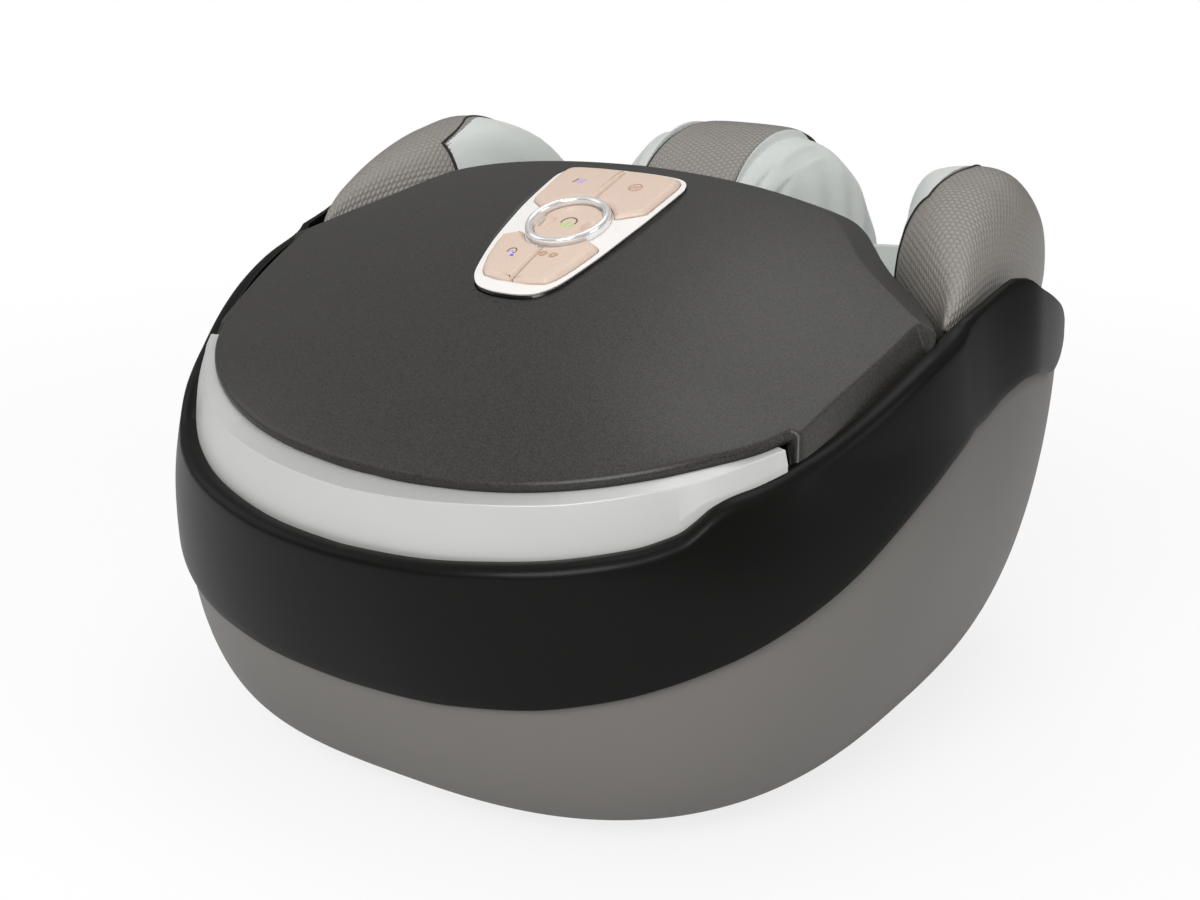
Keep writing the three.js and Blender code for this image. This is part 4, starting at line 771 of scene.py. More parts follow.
# %% The lid's outline
LID_FRONT_EDGE = [
    (-90, 0.145, 0.694), (-81, 0.139, 0.696), (-73, 0.126, 0.702), (-66, 0.111, 0.712),
    (-60, 0.098, 0.723), (-54, 0.085, 0.739), (-48, 0.074, 0.758), (-43, 0.071, 0.773),
    (-38, 0.07, 0.792), (-32.2, 0.077, 0.81),
]
LID_SIDE = [
    (161.6, -99.6, 2.5, -6.6), (165, -83.9, 7.4, -1.2), (169.6, -62.9, 7.6, 1), (173, -43.1, 7.6, 1.2),
    (175.5, -22.5, 8, -1),
]
LID_BACK = [
    (162, -16, 6, 10.4), (145.1, -7, 6.6, 10.2), (134, 1, 7.8, 9.4), (126, 8.9, 8.4, 8.6),
    (117, 17.9, 7.4, 9.5), (107, 24, 4.8, 10.8), (81.9, 28.5, 1.7, 11.9), (44.5, 31.2, 0.7, 12),
    (0, 33, 0, 12),
]
FRONT_END, FRONT_COLUMNS = -32.2, 60
COLLAR, SKIRT_FOOT, LEDGE_PLAY, LID_WALL = 12, 187.5, 0.5, 2


def lip_point(turn, further_in=0):
    """The place of the lid's front edge, or a point so many millimetres further in."""
    inset = LID_HALF * along(LID_FRONT_EDGE, folded(turn)) + further_in
    return tub_point(turn, line_height(LID_FRONT_EDGE, turn, 2), -inset, leaning=False)


def front_edge(turn):
    return Vector((*lip_point(turn).xy, 0, 0))


front_turns = [-90 + (FRONT_END + 90) * k / FRONT_COLUMNS for k in range(FRONT_COLUMNS)]
front_columns = [(front_edge(turn), "front") for turn in front_turns]
side_line = smooth_line([front_edge(FRONT_END)] + LID_SIDE, 8)
side_columns = [(point, "side") for point in side_line[:-1]]
back_columns = [(point, "back") for point in smooth_line(LID_SIDE[-1:] + LID_BACK, 8)]
half_columns = front_columns + side_columns + back_columns
left_columns = [(Vector((-p.x, p.y, -p.z, p.w)), kind) for p, kind in half_columns[1:-1]]
lid_columns = half_columns + left_columns[::-1]
print(len(lid_columns), "columns round the lid")

# %% The lid's section at each column
PANEL_MIDDLE = Vector((0, PANEL_Y))
LIP_RADIUS, LIP_TURN, LIP_STEPS = 3.6, 150, 11
SIDE_CREASE, BACK_CREASE, FULL_WALL = 1.6, 1.4, 7.2


def bezier(a, b, c, count):
    return [a.lerp(b, t).lerp(b.lerp(c, t), t) for t in (k / (count - 1) for k in range(count))]


def on_lid(plan):
    return Vector((plan.x, plan.y, lid_height(plan.x, plan.y)))


def turn_of(x, y):
    depth, width = max(BODY_Y - y, 0) / FRONT_DEPTH, abs(x) / HALF_WIDTH
    return -math.degrees(math.atan2(depth**0.985, width**0.985))


def rolled_lip(at, inward):
    """The front edge: the surface rolls over and a little back under itself."""
    step = at + inward * 2
    slope = math.atan2(lid_height(step.x, step.y) - lid_height(at.x, at.y), 2)
    start = at + inward * LIP_RADIUS * (1 - math.sin(slope))
    height = lid_height(start.x, start.y)
    points = []
    for k in range(LIP_STEPS + 1):
        angle = slope + (math.radians(LIP_TURN) - slope) * k / LIP_STEPS
        out = LIP_RADIUS * (math.sin(angle) - math.sin(slope))
        fall = LIP_RADIUS * (math.cos(angle) - math.cos(slope))
        plan = start - inward * out
        points.append(Vector((plan.x, plan.y, height + fall)))
    tucked = points[-1] + Vector((inward.x, inward.y, 0)) * 2
    return points + [tucked, tucked + Vector((inward.x, inward.y, 0)) * 2]


def standing_wall(at, inward, wall, top, foot, crease):
    """A side or rear edge: a small crease, a sloping wall or collar, a soft corner and a foot."""
    edge = at + wall
    start, corner_point = on_lid(at + inward * crease), on_lid(at)
    end = Vector((edge.x, edge.y, top))
    away = min(crease / max((end - corner_point).length, 0.1), 0.4)
    points = bezier(start, corner_point, corner_point.lerp(end, away), 7)
    down = Vector((edge.x, edge.y, max(top - 1.0, foot)))
    points += bezier(end + (corner_point - end).normalized() * 1.2, end, down, 4)
    inside = Vector((edge.x, edge.y, foot)) + Vector((inward.x, inward.y, 0)) * 2
    return points + [Vector((edge.x, edge.y, foot)), inside, inside + Vector((0, 0, 1))]


def edge_section(column):
    point, kind = column
    at, wall = point.xy, Vector((point.z, point.w))
    inward = (PANEL_MIDDLE - at).normalized()
    edge = at + wall
    if kind == "front":
        return rolled_lip(at, inward)
    if kind == "side":
        foot = ledge_height(turn_of(edge.x, edge.y)) + LEDGE_PLAY
        section = standing_wall(at, inward, wall, foot + 1, foot, SIDE_CREASE)
        turning = smoothstep(0, 1, wall.length / FULL_WALL)
        if turning < 1:
            section = [a.lerp(b, turning) for a, b in zip(rolled_lip(at, inward), section)]
        return section
    away = abs(at.x) / LID_HALF
    fall = (0.42 - 0.17 * away) * COLLAR
    return standing_wall(at, inward, wall, lid_height(at.x, at.y) - fall, SKIRT_FOOT, BACK_CREASE)


print("section points:", len(edge_section(lid_columns[0])), len(edge_section(lid_columns[90])))

# %% [markdown]
# The sheet starts at the hole for the key panel, climbs off its island, runs out to the edge along
# straight rays from the panel's middle, and takes the edge section from there. The rays keep the sheet
# fair, and rows that crowd at the island's step keep that step crisp.

# %% The panel's outline
BEZEL = [
    (0, 0.985), (0.41, 0.982), (0.74, 0.964), (0.9, 0.923), (0.984, 0.833), (1, 0.717), (0.957, 0.27),
    (0.905, 0), (0.82, -0.358), (0.697, -0.68), (0.6, -0.842), (0.437, -0.959), (0.22, -1.003),
    (0, -1.012),
]


def panel_points(shares):
    return [Vector((x * PANEL_HALF_WIDTH, y * PANEL_HALF_LENGTH)) for x, y in shares]


def mirrored(points):
    return [Vector((-p.x, p.y)) for p in reversed(points)]


half_outline = panel_points(BEZEL)
bezel_outline = smooth_line(half_outline + mirrored(half_outline[1:-1]), 4, closed=True)
hole_table = sorted(
    (math.degrees(math.atan2(p.y * math.cos(PANEL_TILT), p.x)), math.hypot(p.x, p.y * math.cos(PANEL_TILT)))
    for p in bezel_outline if p.x > -0.01
)
print("bezel outline:", len(bezel_outline), "points")

# %% Build the lid
ISLAND_ROWS = (-1.6, -0.7, -0.2, 0.2, 0.6, 1.0, 2.2)
FIELD_ROWS = 22


def lid_rows(column):
    """The points of one column of the lid, from the panel's hole to the end of the edge section."""
    section = edge_section(column)
    ray = section[0].xy - PANEL_MIDDLE
    angle = math.atan2(ray.y, ray.x)
    hole = along(hole_table, folded(math.degrees(angle))) + 0.35
    island = island_reach(angle)
    reach = ray.length
    radii = [hole, hole + 0.5 * (island - 1.6 - hole)] + [island + step for step in ISLAND_ROWS]
    last = radii[-1]
    radii += [last + (reach - last) * (k / FIELD_ROWS) ** 0.9 for k in range(1, FIELD_ROWS)]
    radii = [min(radius, reach - 0.05 * (len(radii) - k)) for k, radius in enumerate(radii)]
    points = [on_lid(PANEL_MIDDLE + ray.normalized() * radius) for radius in radii]
    return [points[0] - Vector((0, 0, 5))] + points + section


lid_grid = [lid_rows(column) for column in lid_columns]
sheet = sheet_through(lid_grid, across_closes=True, capped=False)
top_cover = finish_mesh(sheet, "top_cover_skin", charcoal_lid)
thicken(top_cover, LID_WALL)
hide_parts("top_cover")
print("lid:", len(top_cover.data.polygons), "faces")

# %% [markdown]
# ### Front trim
# A silver strip with two long facets lies between the band's ledge and the lid's lip. The ridge between
# them stays crisp: a narrow bevel along it catches the light, and its normals keep both facets flat.

# %% Build the trim
TRIM_TURN, TRIM_COLUMNS = 33.9, 150
TRIM_FOOT_IN, TRIM_RIDGE_IN, TRIM_WALL, TRIM_UNDER_LIP = 5.3, 8, 3, 4.2


def trim_section(turn):
    foot, ridge = line_height(TRIM_FOOT, turn), line_height(TRIM_RIDGE, turn)
    seat = ledge_height(turn) + LEDGE_PLAY

    def strip_point(height, inset):
        return tub_point(turn, height, -inset, leaning=False)

    edge, tuck = lip_point(turn), lip_point(turn, TRIM_WALL)
    lip = plain_lid_height(edge.x, edge.y) - TRIM_UNDER_LIP
    inner_ridge = strip_point(ridge - TRIM_WALL, TRIM_RIDGE_IN + TRIM_WALL)
    return [
        strip_point(seat, TRIM_FOOT_IN), strip_point(foot, TRIM_FOOT_IN), strip_point(ridge, TRIM_RIDGE_IN),
        Vector((edge.x, edge.y, lip)), Vector((tuck.x, tuck.y, lip - 0.3)),
        Vector((tuck.x, tuck.y, lip - TRIM_WALL)), inner_ridge, strip_point(seat, TRIM_FOOT_IN + TRIM_WALL),
    ]


trim_turns = [-180 + TRIM_TURN + (180 - 2 * TRIM_TURN) * k / TRIM_COLUMNS for k in range(TRIM_COLUMNS + 1)]
sheet = sheet_through([trim_section(turn) for turn in trim_turns], up_closes=True)
front_trim = finish_mesh(sheet, "front_trim_strip", silver_trim)
soften_edges(front_trim, 0.5, 14)
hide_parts("front_trim")
print("trim:", len(front_trim.data.polygons), "faces")

# %% [markdown]
# ## Key panel
# The panel lies in its own frame: x across, y up its slope, z off its face. `on_panel` bends that frame
# into the machine's, so every piece of the panel shares the same slight crown. Outlines are closed loops
# that run anticlockwise, with their corners rounded.

# %% Panel helpers
CROWN_STEP, CROWN_CUTS, CORNER_RADIUS = 5.0, 12, 1.4


def on_panel(x, y, z=0.0):
    cos, sin = math.cos(PANEL_TILT), math.sin(PANEL_TILT)
    z -= panel_sag(x, y)
    return Vector((x, PANEL_Y + y * cos - z * sin, PANEL_Z + y * sin + z * cos))


def arc_points(radius, start, end, count):
    angles = [math.radians(start + (end - start) * k / (count - 1)) for k in range(count)]
    return [Vector((radius * math.cos(a), radius * math.sin(a))) for a in angles]


def rounded_loop(points):
    loop = []
    for k, corner_point in enumerate(points):
        before, after = points[k - 1] - corner_point, points[(k + 1) % len(points)] - corner_point
        start = corner_point + before.normalized() * min(CORNER_RADIUS, 0.45 * before.length)
        end = corner_point + after.normalized() * min(CORNER_RADIUS, 0.45 * after.length)
        loop += bezier(start, corner_point, end, 5)
    area = sum(a.x * b.y - b.x * a.y for a, b in zip(loop, loop[1:] + loop[:1]))
    return loop if area > 0 else loop[::-1]


def inset_loop(loop, distance):
    moved = []
    for k, point in enumerate(loop):
        before, after = point - loop[k - 1], loop[(k + 1) % len(loop)] - point
        tangent = (before.normalized() + after.normalized()).normalized()
        moved.append(point + Vector((-tangent.y, tangent.x)) * distance)
    return moved


def loop_edges(bm, ring):
    return [bm.edges.get((a, b)) or bm.edges.new((a, b)) for a, b in zip(ring, ring[1:] + ring[:1])]


def ring_at(bm, loop, height):
    return [bm.verts.new((p.x, p.y, height)) for p in loop]


def wall_between(bm, low, high):
    for k in range(len(low)):
        bm.faces.new((low[k - 1], low[k], high[k], high[k - 1]))


def crowned(bm):
    """Cuts a flat piece into a grid and bends it to the panel's crown."""
    for direction in (Vector((1, 0, 0)), Vector((0, 1, 0))):
        for k in range(-CROWN_CUTS, CROWN_CUTS + 1):
            geometry = bm.verts[:] + bm.edges[:] + bm.faces[:]
            cut = direction * k * CROWN_STEP
            bmesh.ops.bisect_plane(bm, geom=geometry, plane_co=cut, plane_no=direction)
    for vert in bm.verts:
        vert.co = on_panel(*vert.co)
    bmesh.ops.recalc_face_normals(bm, faces=bm.faces)
    return bm


def stacked_loops(sections):
    """A closed solid from loops given as (loop, height), lowest first; the end loops are filled."""
    bm = bmesh.new()
    rings = [ring_at(bm, loop, height) for loop, height in sections]
    for low, high in zip(rings, rings[1:]):
        wall_between(bm, low, high)
    for ring in (rings[0], rings[-1]):
        bmesh.ops.triangle_fill(bm, edges=loop_edges(bm, ring), use_beauty=True)
    return crowned(bm)


def crisp(piece, angle):
    """Smooth faces, with a sharp edge wherever two of them meet at more than the angle."""
    piece.data.shade_smooth()
    piece.data.set_sharp_from_angle(angle=math.radians(angle))


print("panel helpers ready")

# %% [markdown]
# ### Keys
# The four keys are raised blocks with a chamfered rim. They come in two pairs, each pair sharing one
# opening in the bezel, and their inner edges follow the ring. The front keys carry the kneading and the
# automatic programme, the rear keys the heat and the mode.

# %% Build the keys
KEY_ARC, KEY_GAP, KEY_PLAY = 21.7, 0.22, 0.3
REAR_KEY = [
    (0.56, 0.17), (0.852, 0.296), (0.885, 0.32), (0.907, 0.538), (0.925, 0.78), (0.9, 0.87),
    (0.84, 0.918), (0.72, 0.935), (0.41, 0.947),
]
FRONT_KEY = [
    (0.715, -0.275), (0.752, -0.31), (0.732, -0.394), (0.656, -0.609), (0.56, -0.771), (0.465, -0.839),
    (0.246, -0.869),
]
KEY_RIM = [(0, -1.4), (0, 1.75), (0.12, 1.95), (1.8, 3.45), (2.1, 3.55)]
rear_half = arc_points(KEY_ARC, 90, 28, 12) + panel_points(REAR_KEY + [(0, 0.95)])
front_half = arc_points(KEY_ARC, -90, -32, 12) + panel_points(FRONT_KEY + [(0, -0.878)])


def build_key(half, side, name, body, node):
    points = [Vector((side * max(p.x, KEY_GAP), p.y)) for p in half]
    outline = rounded_loop(points)
    sections = [(inset_loop(outline, inset), height) for inset, height in KEY_RIM]
    key = finish_mesh(stacked_loops(sections), name, rose_keys, body=body, smooth=False)
    crisp(key, 24)
    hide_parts(node)
    return key


keys = [
    build_key(rear_half, 1, "heat_key_cap", "heat_button", "heat_button"),
    build_key(rear_half, -1, "mode_key_cap", "mode_button", "mode_button"),
    build_key(front_half, 1, "kneading_key_cap", "kneading_button", "kneading_button"),
    build_key(front_half, -1, "auto_key_cap", "auto_button", "auto_button"),
]
print("keys:", [len(key.data.polygons) for key in keys])

# %% Build the bezel
BEZEL_TOP, BEZEL_FOOT, RING_HOLE = 1.0, -6.0, 16.8


def key_opening(half):
    right = [Vector((max(p.x, 0), p.y)) for p in half[1:-1]]
    return inset_loop(rounded_loop(right + mirrored(right)), -KEY_PLAY)


def plate_with_openings(outline, openings, top, foot, rim):
    """A plate whose outer edge is rounded by the rim steps and whose openings go straight through."""
    bm = bmesh.new()
    levels = [(0, foot)] + rim + [(rim[-1][0] + 0.2, top)]
    outer = [ring_at(bm, inset_loop(outline, inset), height) for inset, height in levels]
    for low, high in zip(outer, outer[1:]):
        wall_between(bm, low, high)
    edges = {top: loop_edges(bm, outer[-1]), foot: loop_edges(bm, outer[0])}
    for opening in openings:
        rings = {height: ring_at(bm, opening, height) for height in (top, foot)}
        wall_between(bm, rings[top], rings[foot])
        for height in (top, foot):
            edges[height] += loop_edges(bm, rings[height])
    for height in (top, foot):
        bmesh.ops.triangle_fill(bm, edges=edges[height], use_beauty=True)
    return crowned(bm)


ring_opening = arc_points(RING_HOLE, 0, 356.25, 96)
bezel_rim = [(0, BEZEL_TOP - 0.9), (0.12, BEZEL_TOP - 0.5), (0.4, BEZEL_TOP - 0.15)]
openings = [key_opening(rear_half), key_opening(front_half), ring_opening]
plate = plate_with_openings(bezel_outline, openings, BEZEL_TOP, BEZEL_FOOT, bezel_rim)
panel_bezel = finish_mesh(plate, "panel_bezel_frame", white_bezel, smooth=False)
crisp(panel_bezel, 30)
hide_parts("panel_bezel")
print("bezel:", len(panel_bezel.data.polygons), "faces")

# %% [markdown]
# The bezel sits in a narrow surround of glossy black that stands proud of the lid, widest at the panel's
# front.

# %% Build the surround
SURROUND = [
    (1.4, 2.4, -6), (1.4, 2.4, -1.6), (1.1, 1.8, -0.6), (0.7, 0.9, -0.1), (-0.4, 0, 0), (-1.2, 0, -5.5),
]


def surround_loop(base, front):
    loop = []
    for k, point in enumerate(bezel_outline):
        tangent = (bezel_outline[(k + 1) % len(bezel_outline)] - bezel_outline[k - 1]).normalized()
        wider = front * (1 - smoothstep(-20, 38, point.y))
        loop.append(point + Vector((tangent.y, -tangent.x)) * (base + wider))
    return loop


surround = stacked_loops([(surround_loop(base, front), height) for base, front, height in SURROUND])
panel_surround = finish_mesh(surround, "panel_surround", gloss_black)
print("surround:", len(panel_surround.data.polygons), "faces")

# %% [markdown]
# ### Ring and power button
# The plated ring stands up from the bezel and rounds over at the top. The power button inside it has a
# shallow finger dish on each side.

# %% Build the ring and the power button
RING = [
    (20.7, 1.1), (20.75, 3.4), (20.6, 4.5), (20.15, 5.3), (19.4, 5.75), (18.6, 5.75), (17.9, 5.4),
    (17.4, 4.8), (17.2, 4), (17.2, 1.1),
]
RING_STEPS = 112
ring_section = smooth_line(RING, 3)


def ring_place(across, up):
    angle = -math.tau * across
    radius, height = ring_section[round(up * len(ring_section)) % len(ring_section)]
    return on_panel(radius * math.cos(angle), radius * math.sin(angle), height)


sheet = bent_sheet(RING_STEPS, len(ring_section), ring_place, capped=False)
panel_ring = finish_mesh(sheet, "panel_ring_plated", plated_ring)
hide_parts("panel_ring")

POWER_RADIUS, POWER_TOP, POWER_FOOT, POWER_ROWS = 16.3, 2.4, -1.6, 40
DISH_AT, DISH_RADIUS, DISH_DEPTH = 13.4, 6.4, 3.4


def power_height(x, y):
    height = POWER_TOP
    for side in (-1, 1):
        away = math.hypot(x - side * DISH_AT, y)
        if away < DISH_RADIUS:
            sphere = POWER_TOP + DISH_RADIUS - DISH_DEPTH - math.sqrt(DISH_RADIUS**2 - away**2)
            height = min(height, sphere)
    return height


def power_place(across, up):
    angle, row, last = -math.tau * across, round(up * POWER_ROWS), POWER_ROWS - 3
    radius = min(POWER_RADIUS * row / last, POWER_RADIUS)
    x, y = radius * math.cos(angle), radius * math.sin(angle)
    if row == last + 1:
        return on_panel(x * 1.006, y * 1.006, power_height(x, y) - 0.3)
    return on_panel(x, y, power_height(x, y) if row <= last else POWER_FOOT)


sheet = bent_sheet(RING_STEPS, POWER_ROWS, power_place)
power_button = finish_mesh(sheet, "power_key_cap", rose_keys, body="power_button")
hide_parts("power_button")
print("ring and power button:", len(panel_ring.data.polygons), len(power_button.data.polygons), "faces")

# %% [markdown]
# ### Signs on the keys
# Each key carries a small printed sign and some of them a light behind it. The signs are thin raised
# strokes of a general kind, drawn in the panel's frame, and each rides on its own key. A person sits at
# the calf end, so the signs stand upright as seen from there.

# %% Build the signs
sign_brown = moulded("sign_brown", 0xA8795A, 0.5, drift=0.0)
sign_dark = moulded("sign_dark", 0x5E4A3C, 0.5, drift=0.0)


def lit(name, swatch, strength):
    material = moulded(name, swatch, 0.4, drift=0.0)
    tree = material.node_tree
    glow = {"Emission Color": linear(swatch), "Emission Strength": strength}
    feed(tree, tree.nodes["Principled BSDF"], glow)
    return material


lit_green = lit("lit_green", 0x6FBE1E, 0.5)
lit_blue = lit("lit_blue", 0x3B35F0, 0.8)
lit_violet = lit("lit_violet", 0x8E6CDC, 0.5)


def stroke(points, width, name, material, body, top):
    """A raised line of one width through panel points, on a face whose top has the given height."""
    left, right = [], []
    for k, point in enumerate(points):
        ahead = (points[min(k + 1, len(points) - 1)] - points[max(k - 1, 0)]).normalized()
        aside = Vector((-ahead.y, ahead.x)) * width / 2
        left.append(point + aside)
        right.append(point - aside)
    loop = left + right[::-1]
    solid = stacked_loops([(loop, top - 0.1), (loop, top + 0.05)])
    piece = finish_mesh(solid, name, material, body=body, smooth=False)


def moved(centre, points):
    return [Vector((centre[0] + x, centre[1] + y)) for x, y in points]


KEY_TOP = KEY_RIM[-1][1]
for k, material in enumerate((sign_dark, lit_violet, lit_violet)):
    bar = moved((-19.4 + 2.3 * k, 36.5), [(0.7, 2.0), (0.1, 0.7), (-0.1, -0.7), (-0.7, -2.0)])
    stroke(bar, 0.75, f"mode_sign_{k}", material, "mode_button", KEY_TOP)

heat_middle = (15.4, 36.3)
circle = moved(heat_middle, arc_points(3.3, 0, 352, 40))
stroke(circle, 0.5, "heat_sign_ring", sign_brown, "heat_button", KEY_TOP)
for k in (-1, 0, 1):
    wave = [(0.45 * math.sin(1.5 * t) + 1.5 * k, t) for t in (-2.0 + 4.0 * step / 14 for step in range(15))]
    stroke(moved(heat_middle, wave), 0.45, f"heat_sign_wave_{k + 1}", sign_brown, "heat_button", KEY_TOP)

for name, middle, line, width, material in (
    ("auto_sign_arc", (-12.2, -29.6), arc_points(2.3, -50, 210, 26), 0.6, sign_dark),
    ("auto_sign_peak", (-12.2, -29.6), [(-1.4, -1.2), (0, 0.4), (1.4, -1.2)], 0.6, lit_violet),
    ("auto_light", (-10.2, -32.8), [(-0.8, 0), (0.8, 0)], 1.6, lit_blue),
):
    stroke(moved(middle, line), width, name, material, "auto_button", KEY_TOP)

coil = [(r * math.cos(a), r * math.sin(a)) for r, a in ((2.2 - 1.6 * t / 40, 0.32 * t) for t in range(41))]
for k, middle in enumerate(((4.6, -28.6), (10.2, -28.6))):
    stroke(moved(middle, coil), 0.42, f"kneading_sign_{k}", sign_brown, "kneading_button", KEY_TOP)

for name, line, material in (
    ("power_sign_arc", arc_points(3.9, -20, 200, 30), sign_dark),
    ("power_sign_end_0", arc_points(3.9, 204, 242, 8), lit_green),
    ("power_sign_end_1", arc_points(3.9, -62, -24, 8), lit_green),
    ("power_sign_bar", [(0, 0.6), (0, -4.2)], lit_green),
):
    stroke(moved((0, 0.5), line), 0.75, name, material, "power_button", POWER_TOP)

# %% [markdown]
# ## Cushions
# Three cushions hold the calves: a padded leather flank outside each leg and one lobe between the legs,
# with a puffy white cuff wherever one touches a calf. Their grids come from stations along each cushion.
# The UV map of a grid holds true millimetres along its two directions, so the embossed scales keep their
# size.

# %% Cushion helpers
CUSHION_FOOT, CUSHION_RISE, LOBE_RISE = 187.3, 84, 80.4
PIPING, PAD_FILL, LINING_FILL = 0.9, 0.6, 0.3


def surface_lengths(grid):
    """Millimetres along both directions of a grid of points that closes round each row."""
    around = []
    for row in grid:
        steps = [(b - a).length for a, b in zip(row, row[1:] + row[:1])]
        total = [sum(steps[:k]) for k in range(len(row) + 1)]
        middle = total[len(row) // 2]
        around.append([length - middle for length in total])
    middle = len(grid[0]) // 2
    forward = [0.0]
    for a, b in zip(grid, grid[1:]):
        forward.append(forward[-1] + (b[middle] - a[middle]).length)
    return around, forward


def tube_from_grid(grid, capped=True):
    """A tube through rows of points."""
    around, forward = surface_lengths(grid)

    def chart(across, up):
        row = round(up * (len(grid) - 1))
        return around[row][round(across * len(grid[0]))], forward[row]

    return sheet_through(list(zip(*grid)), across_closes=True, capped=capped, chart=chart)


def cord(points, name, closed=False):
    """A round dark cord through the points, such as a piping, or a seam whose dark colour also paints the
    shade in the gap beside it.
    """
    rows = []
    count = len(points)
    turns = [math.tau * k / 8 for k in range(8)]
    for k, point in enumerate(points):
        after = points[(k + 1) % count] if closed or k + 1 < count else point
        before = points[k - 1] if closed or k else point
        ahead = (after - before).normalized()
        side = ahead.cross(Vector((0.3, 0.2, 1))).normalized()
        lift = side.cross(ahead)
        rows.append([point + (side * math.cos(turn) + lift * math.sin(turn)) * PIPING for turn in turns])
    if closed:
        rows.append(rows[0])
    return finish_mesh(tube_from_grid(rows), name, seam_and_shade_black)


def cushion_pair(right, node):
    """Mirrors a right-hand cushion and hides the solids of both its sides."""
    left = mirrored_copy(right, right.name.replace("right", "left"))
    for side, cushion in (("right", right), ("left", left)):
        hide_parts(side + node)
    print(node, "pair:", len(right.data.polygons), "faces each")


print("cushion helpers ready")

# %% [markdown]
# ### Side pads
# Each flank starts as a point where the band, the lid and the pad meet, swells over the leg opening and
# thins out again behind. Its leather is pulled to the point, which gives the bright ridge that runs up
# from there.

# %% Build the side pads
PAD_FRONT, PAD_LENGTH, PAD_REACH = -6.0, 177.7, 202.0
SIDE_PAD = [
    (0, 0.885, 0.895, 0.27, 0.3), (0.039, 0.868, 0.91, 0.22, 0.41), (0.079, 0.84, 0.917, 0.18, 0.5),
    (0.113, 0.805, 0.919, 0.13, 0.57), (0.191, 0.73, 0.92, 0.03, 0.7), (0.287, 0.66, 0.919, 0, 0.81),
    (0.4, 0.62, 0.914, 0, 0.885), (0.546, 0.59, 0.904, 0, 0.922), (0.698, 0.565, 0.88, 0, 0.8),
    (0.822, 0.55, 0.83, 0, 0.56), (0.923, 0.555, 0.77, 0, 0.31), (0.968, 0.57, 0.72, 0, 0.17),
    (1, 0.585, 0.69, 0, 0.09),
]
PAD_SECTION = [
    (0.3, 0), (0.12, 0.06), (0, 0.33), (0.05, 0.68), (0.22, 0.93), (0.5, 1), (0.77, 0.95), (0.95, 0.73),
    (1, 0.4), (0.96, 0.1), (0.88, 0),
]
pad_section = smooth_line(PAD_SECTION, 6, closed=True)
pad_stations = smooth_line(SIDE_PAD, 8)


def pad_point(station, across, up):
    at, inner, outer, bottom, top = station
    x = PAD_REACH * (inner + across * (outer - inner))
    height = CUSHION_FOOT + CUSHION_RISE * (bottom + up * (top - bottom))
    return Vector((x, PAD_FRONT + PAD_LENGTH * at, height))


pad_grid = [[pad_point(station, *p) for p in pad_section] for station in pad_stations]
right_pad = finish_mesh(tube_from_grid(pad_grid), "right_side_pad_cover", taupe_leather)
cushion_pair(right_pad, "_side_pad")

# %% [markdown]
# ### Outer cuffs
# Each outer cuff is a fabric cushion sewn onto the inner face of its pad, with a dark seam all round whose
# dark colour is also painted shade in the gap between cuff and pad. It is fullest in the middle, and its
# fabric lies in soft shallow folds.

# %% Build the outer cuffs
CUFF_SPAN = [(0.335, 0.15), (0.402, 0.4), (0.533, 0.8), (0.673, 1), (0.813, 0.75), (0.906, 0.25)]
CUFF_TOP = [(0.335, 0.78), (0.4, 0.83), (0.46, 0.89), (0.53, 0.98), (0.906, 1)]
CUFF_FULLNESS, CUFF_LOW, CUFF_ROWS, CUFF_STEPS = 5.0, 0.06, 40, 24
CUFF_BACK = Vector((2.5, 0, -1))
cuff_path = smooth_line(PAD_SECTION[1:6], 8)


def station_at(at):
    row = along([(s[0], k) for k, s in enumerate(pad_stations)], at)
    k = min(int(row), len(pad_stations) - 2)
    return pad_stations[k].lerp(pad_stations[k + 1], row - k)


def cuff_folds(at, share):
    """Millimetres by which the fabric's folds stand out or lie in."""
    sweep = math.sin(9.5 * at + 3.1 * share) * math.sin(math.pi * share)
    return 2.0 * sweep + 0.9 * math.sin(31 * at + 8 * share * share)


outer_grid = []
for row in range(CUFF_ROWS + 1):
    at = CUFF_SPAN[0][0] + (CUFF_SPAN[-1][0] - CUFF_SPAN[0][0]) * row / CUFF_ROWS
    ends = min(1, math.sin(math.pi * row / CUFF_ROWS) * 2.2) ** 0.5
    station = station_at(at)
    front, back = [], []
    for k in range(CUFF_STEPS + 1):
        share = k / CUFF_STEPS
        place = (CUFF_LOW + (1 - CUFF_LOW) * share) * along(CUFF_TOP, at) * (len(cuff_path) - 1)
        before = min(int(place), len(cuff_path) - 2)
        at_surface = pad_point(station, *cuff_path[before].lerp(cuff_path[before + 1], place - before))
        bulge = math.sin(math.pi * share) ** 0.6 * along(CUFF_SPAN, at) * CUFF_FULLNESS * ends
        bulge += cuff_folds(at, share) * ends * math.sin(math.pi * share)
        front.append(at_surface + Vector((-1, 0, 0.25 * share)) * bulge)
        back.append(at_surface + CUFF_BACK)
    outer_grid.append(front + back[::-1])
right_outer = finish_mesh(tube_from_grid(outer_grid), "right_outer_cuff_cover", white_fabric)
cushion_pair(right_outer, "_outer_cuff")

last = CUFF_STEPS
# The seam cord round the cuff is a real seam whose dark colour also paints the shade in the gap between
# cuff and pad.
rim = [row[last] for row in outer_grid] + [outer_grid[-1][k] for k in range(last - 1, 0, -1)]
rim += [row[0] for row in reversed(outer_grid)] + [outer_grid[0][k] for k in range(1, last)]
right_seam_and_shade = cord(rim, "right_outer_cuff_seam", closed=True)
left_seam_and_shade = mirrored_copy(right_seam_and_shade, "left_outer_cuff_seam")
print("seam:", len(rim), "points round the cuff")

# %% [markdown]
# ### Centre lobe
# The lobe between the legs is a leather saddle with a white cuff on both flanks. Dark piping runs over
# the saddle along both of its edges.

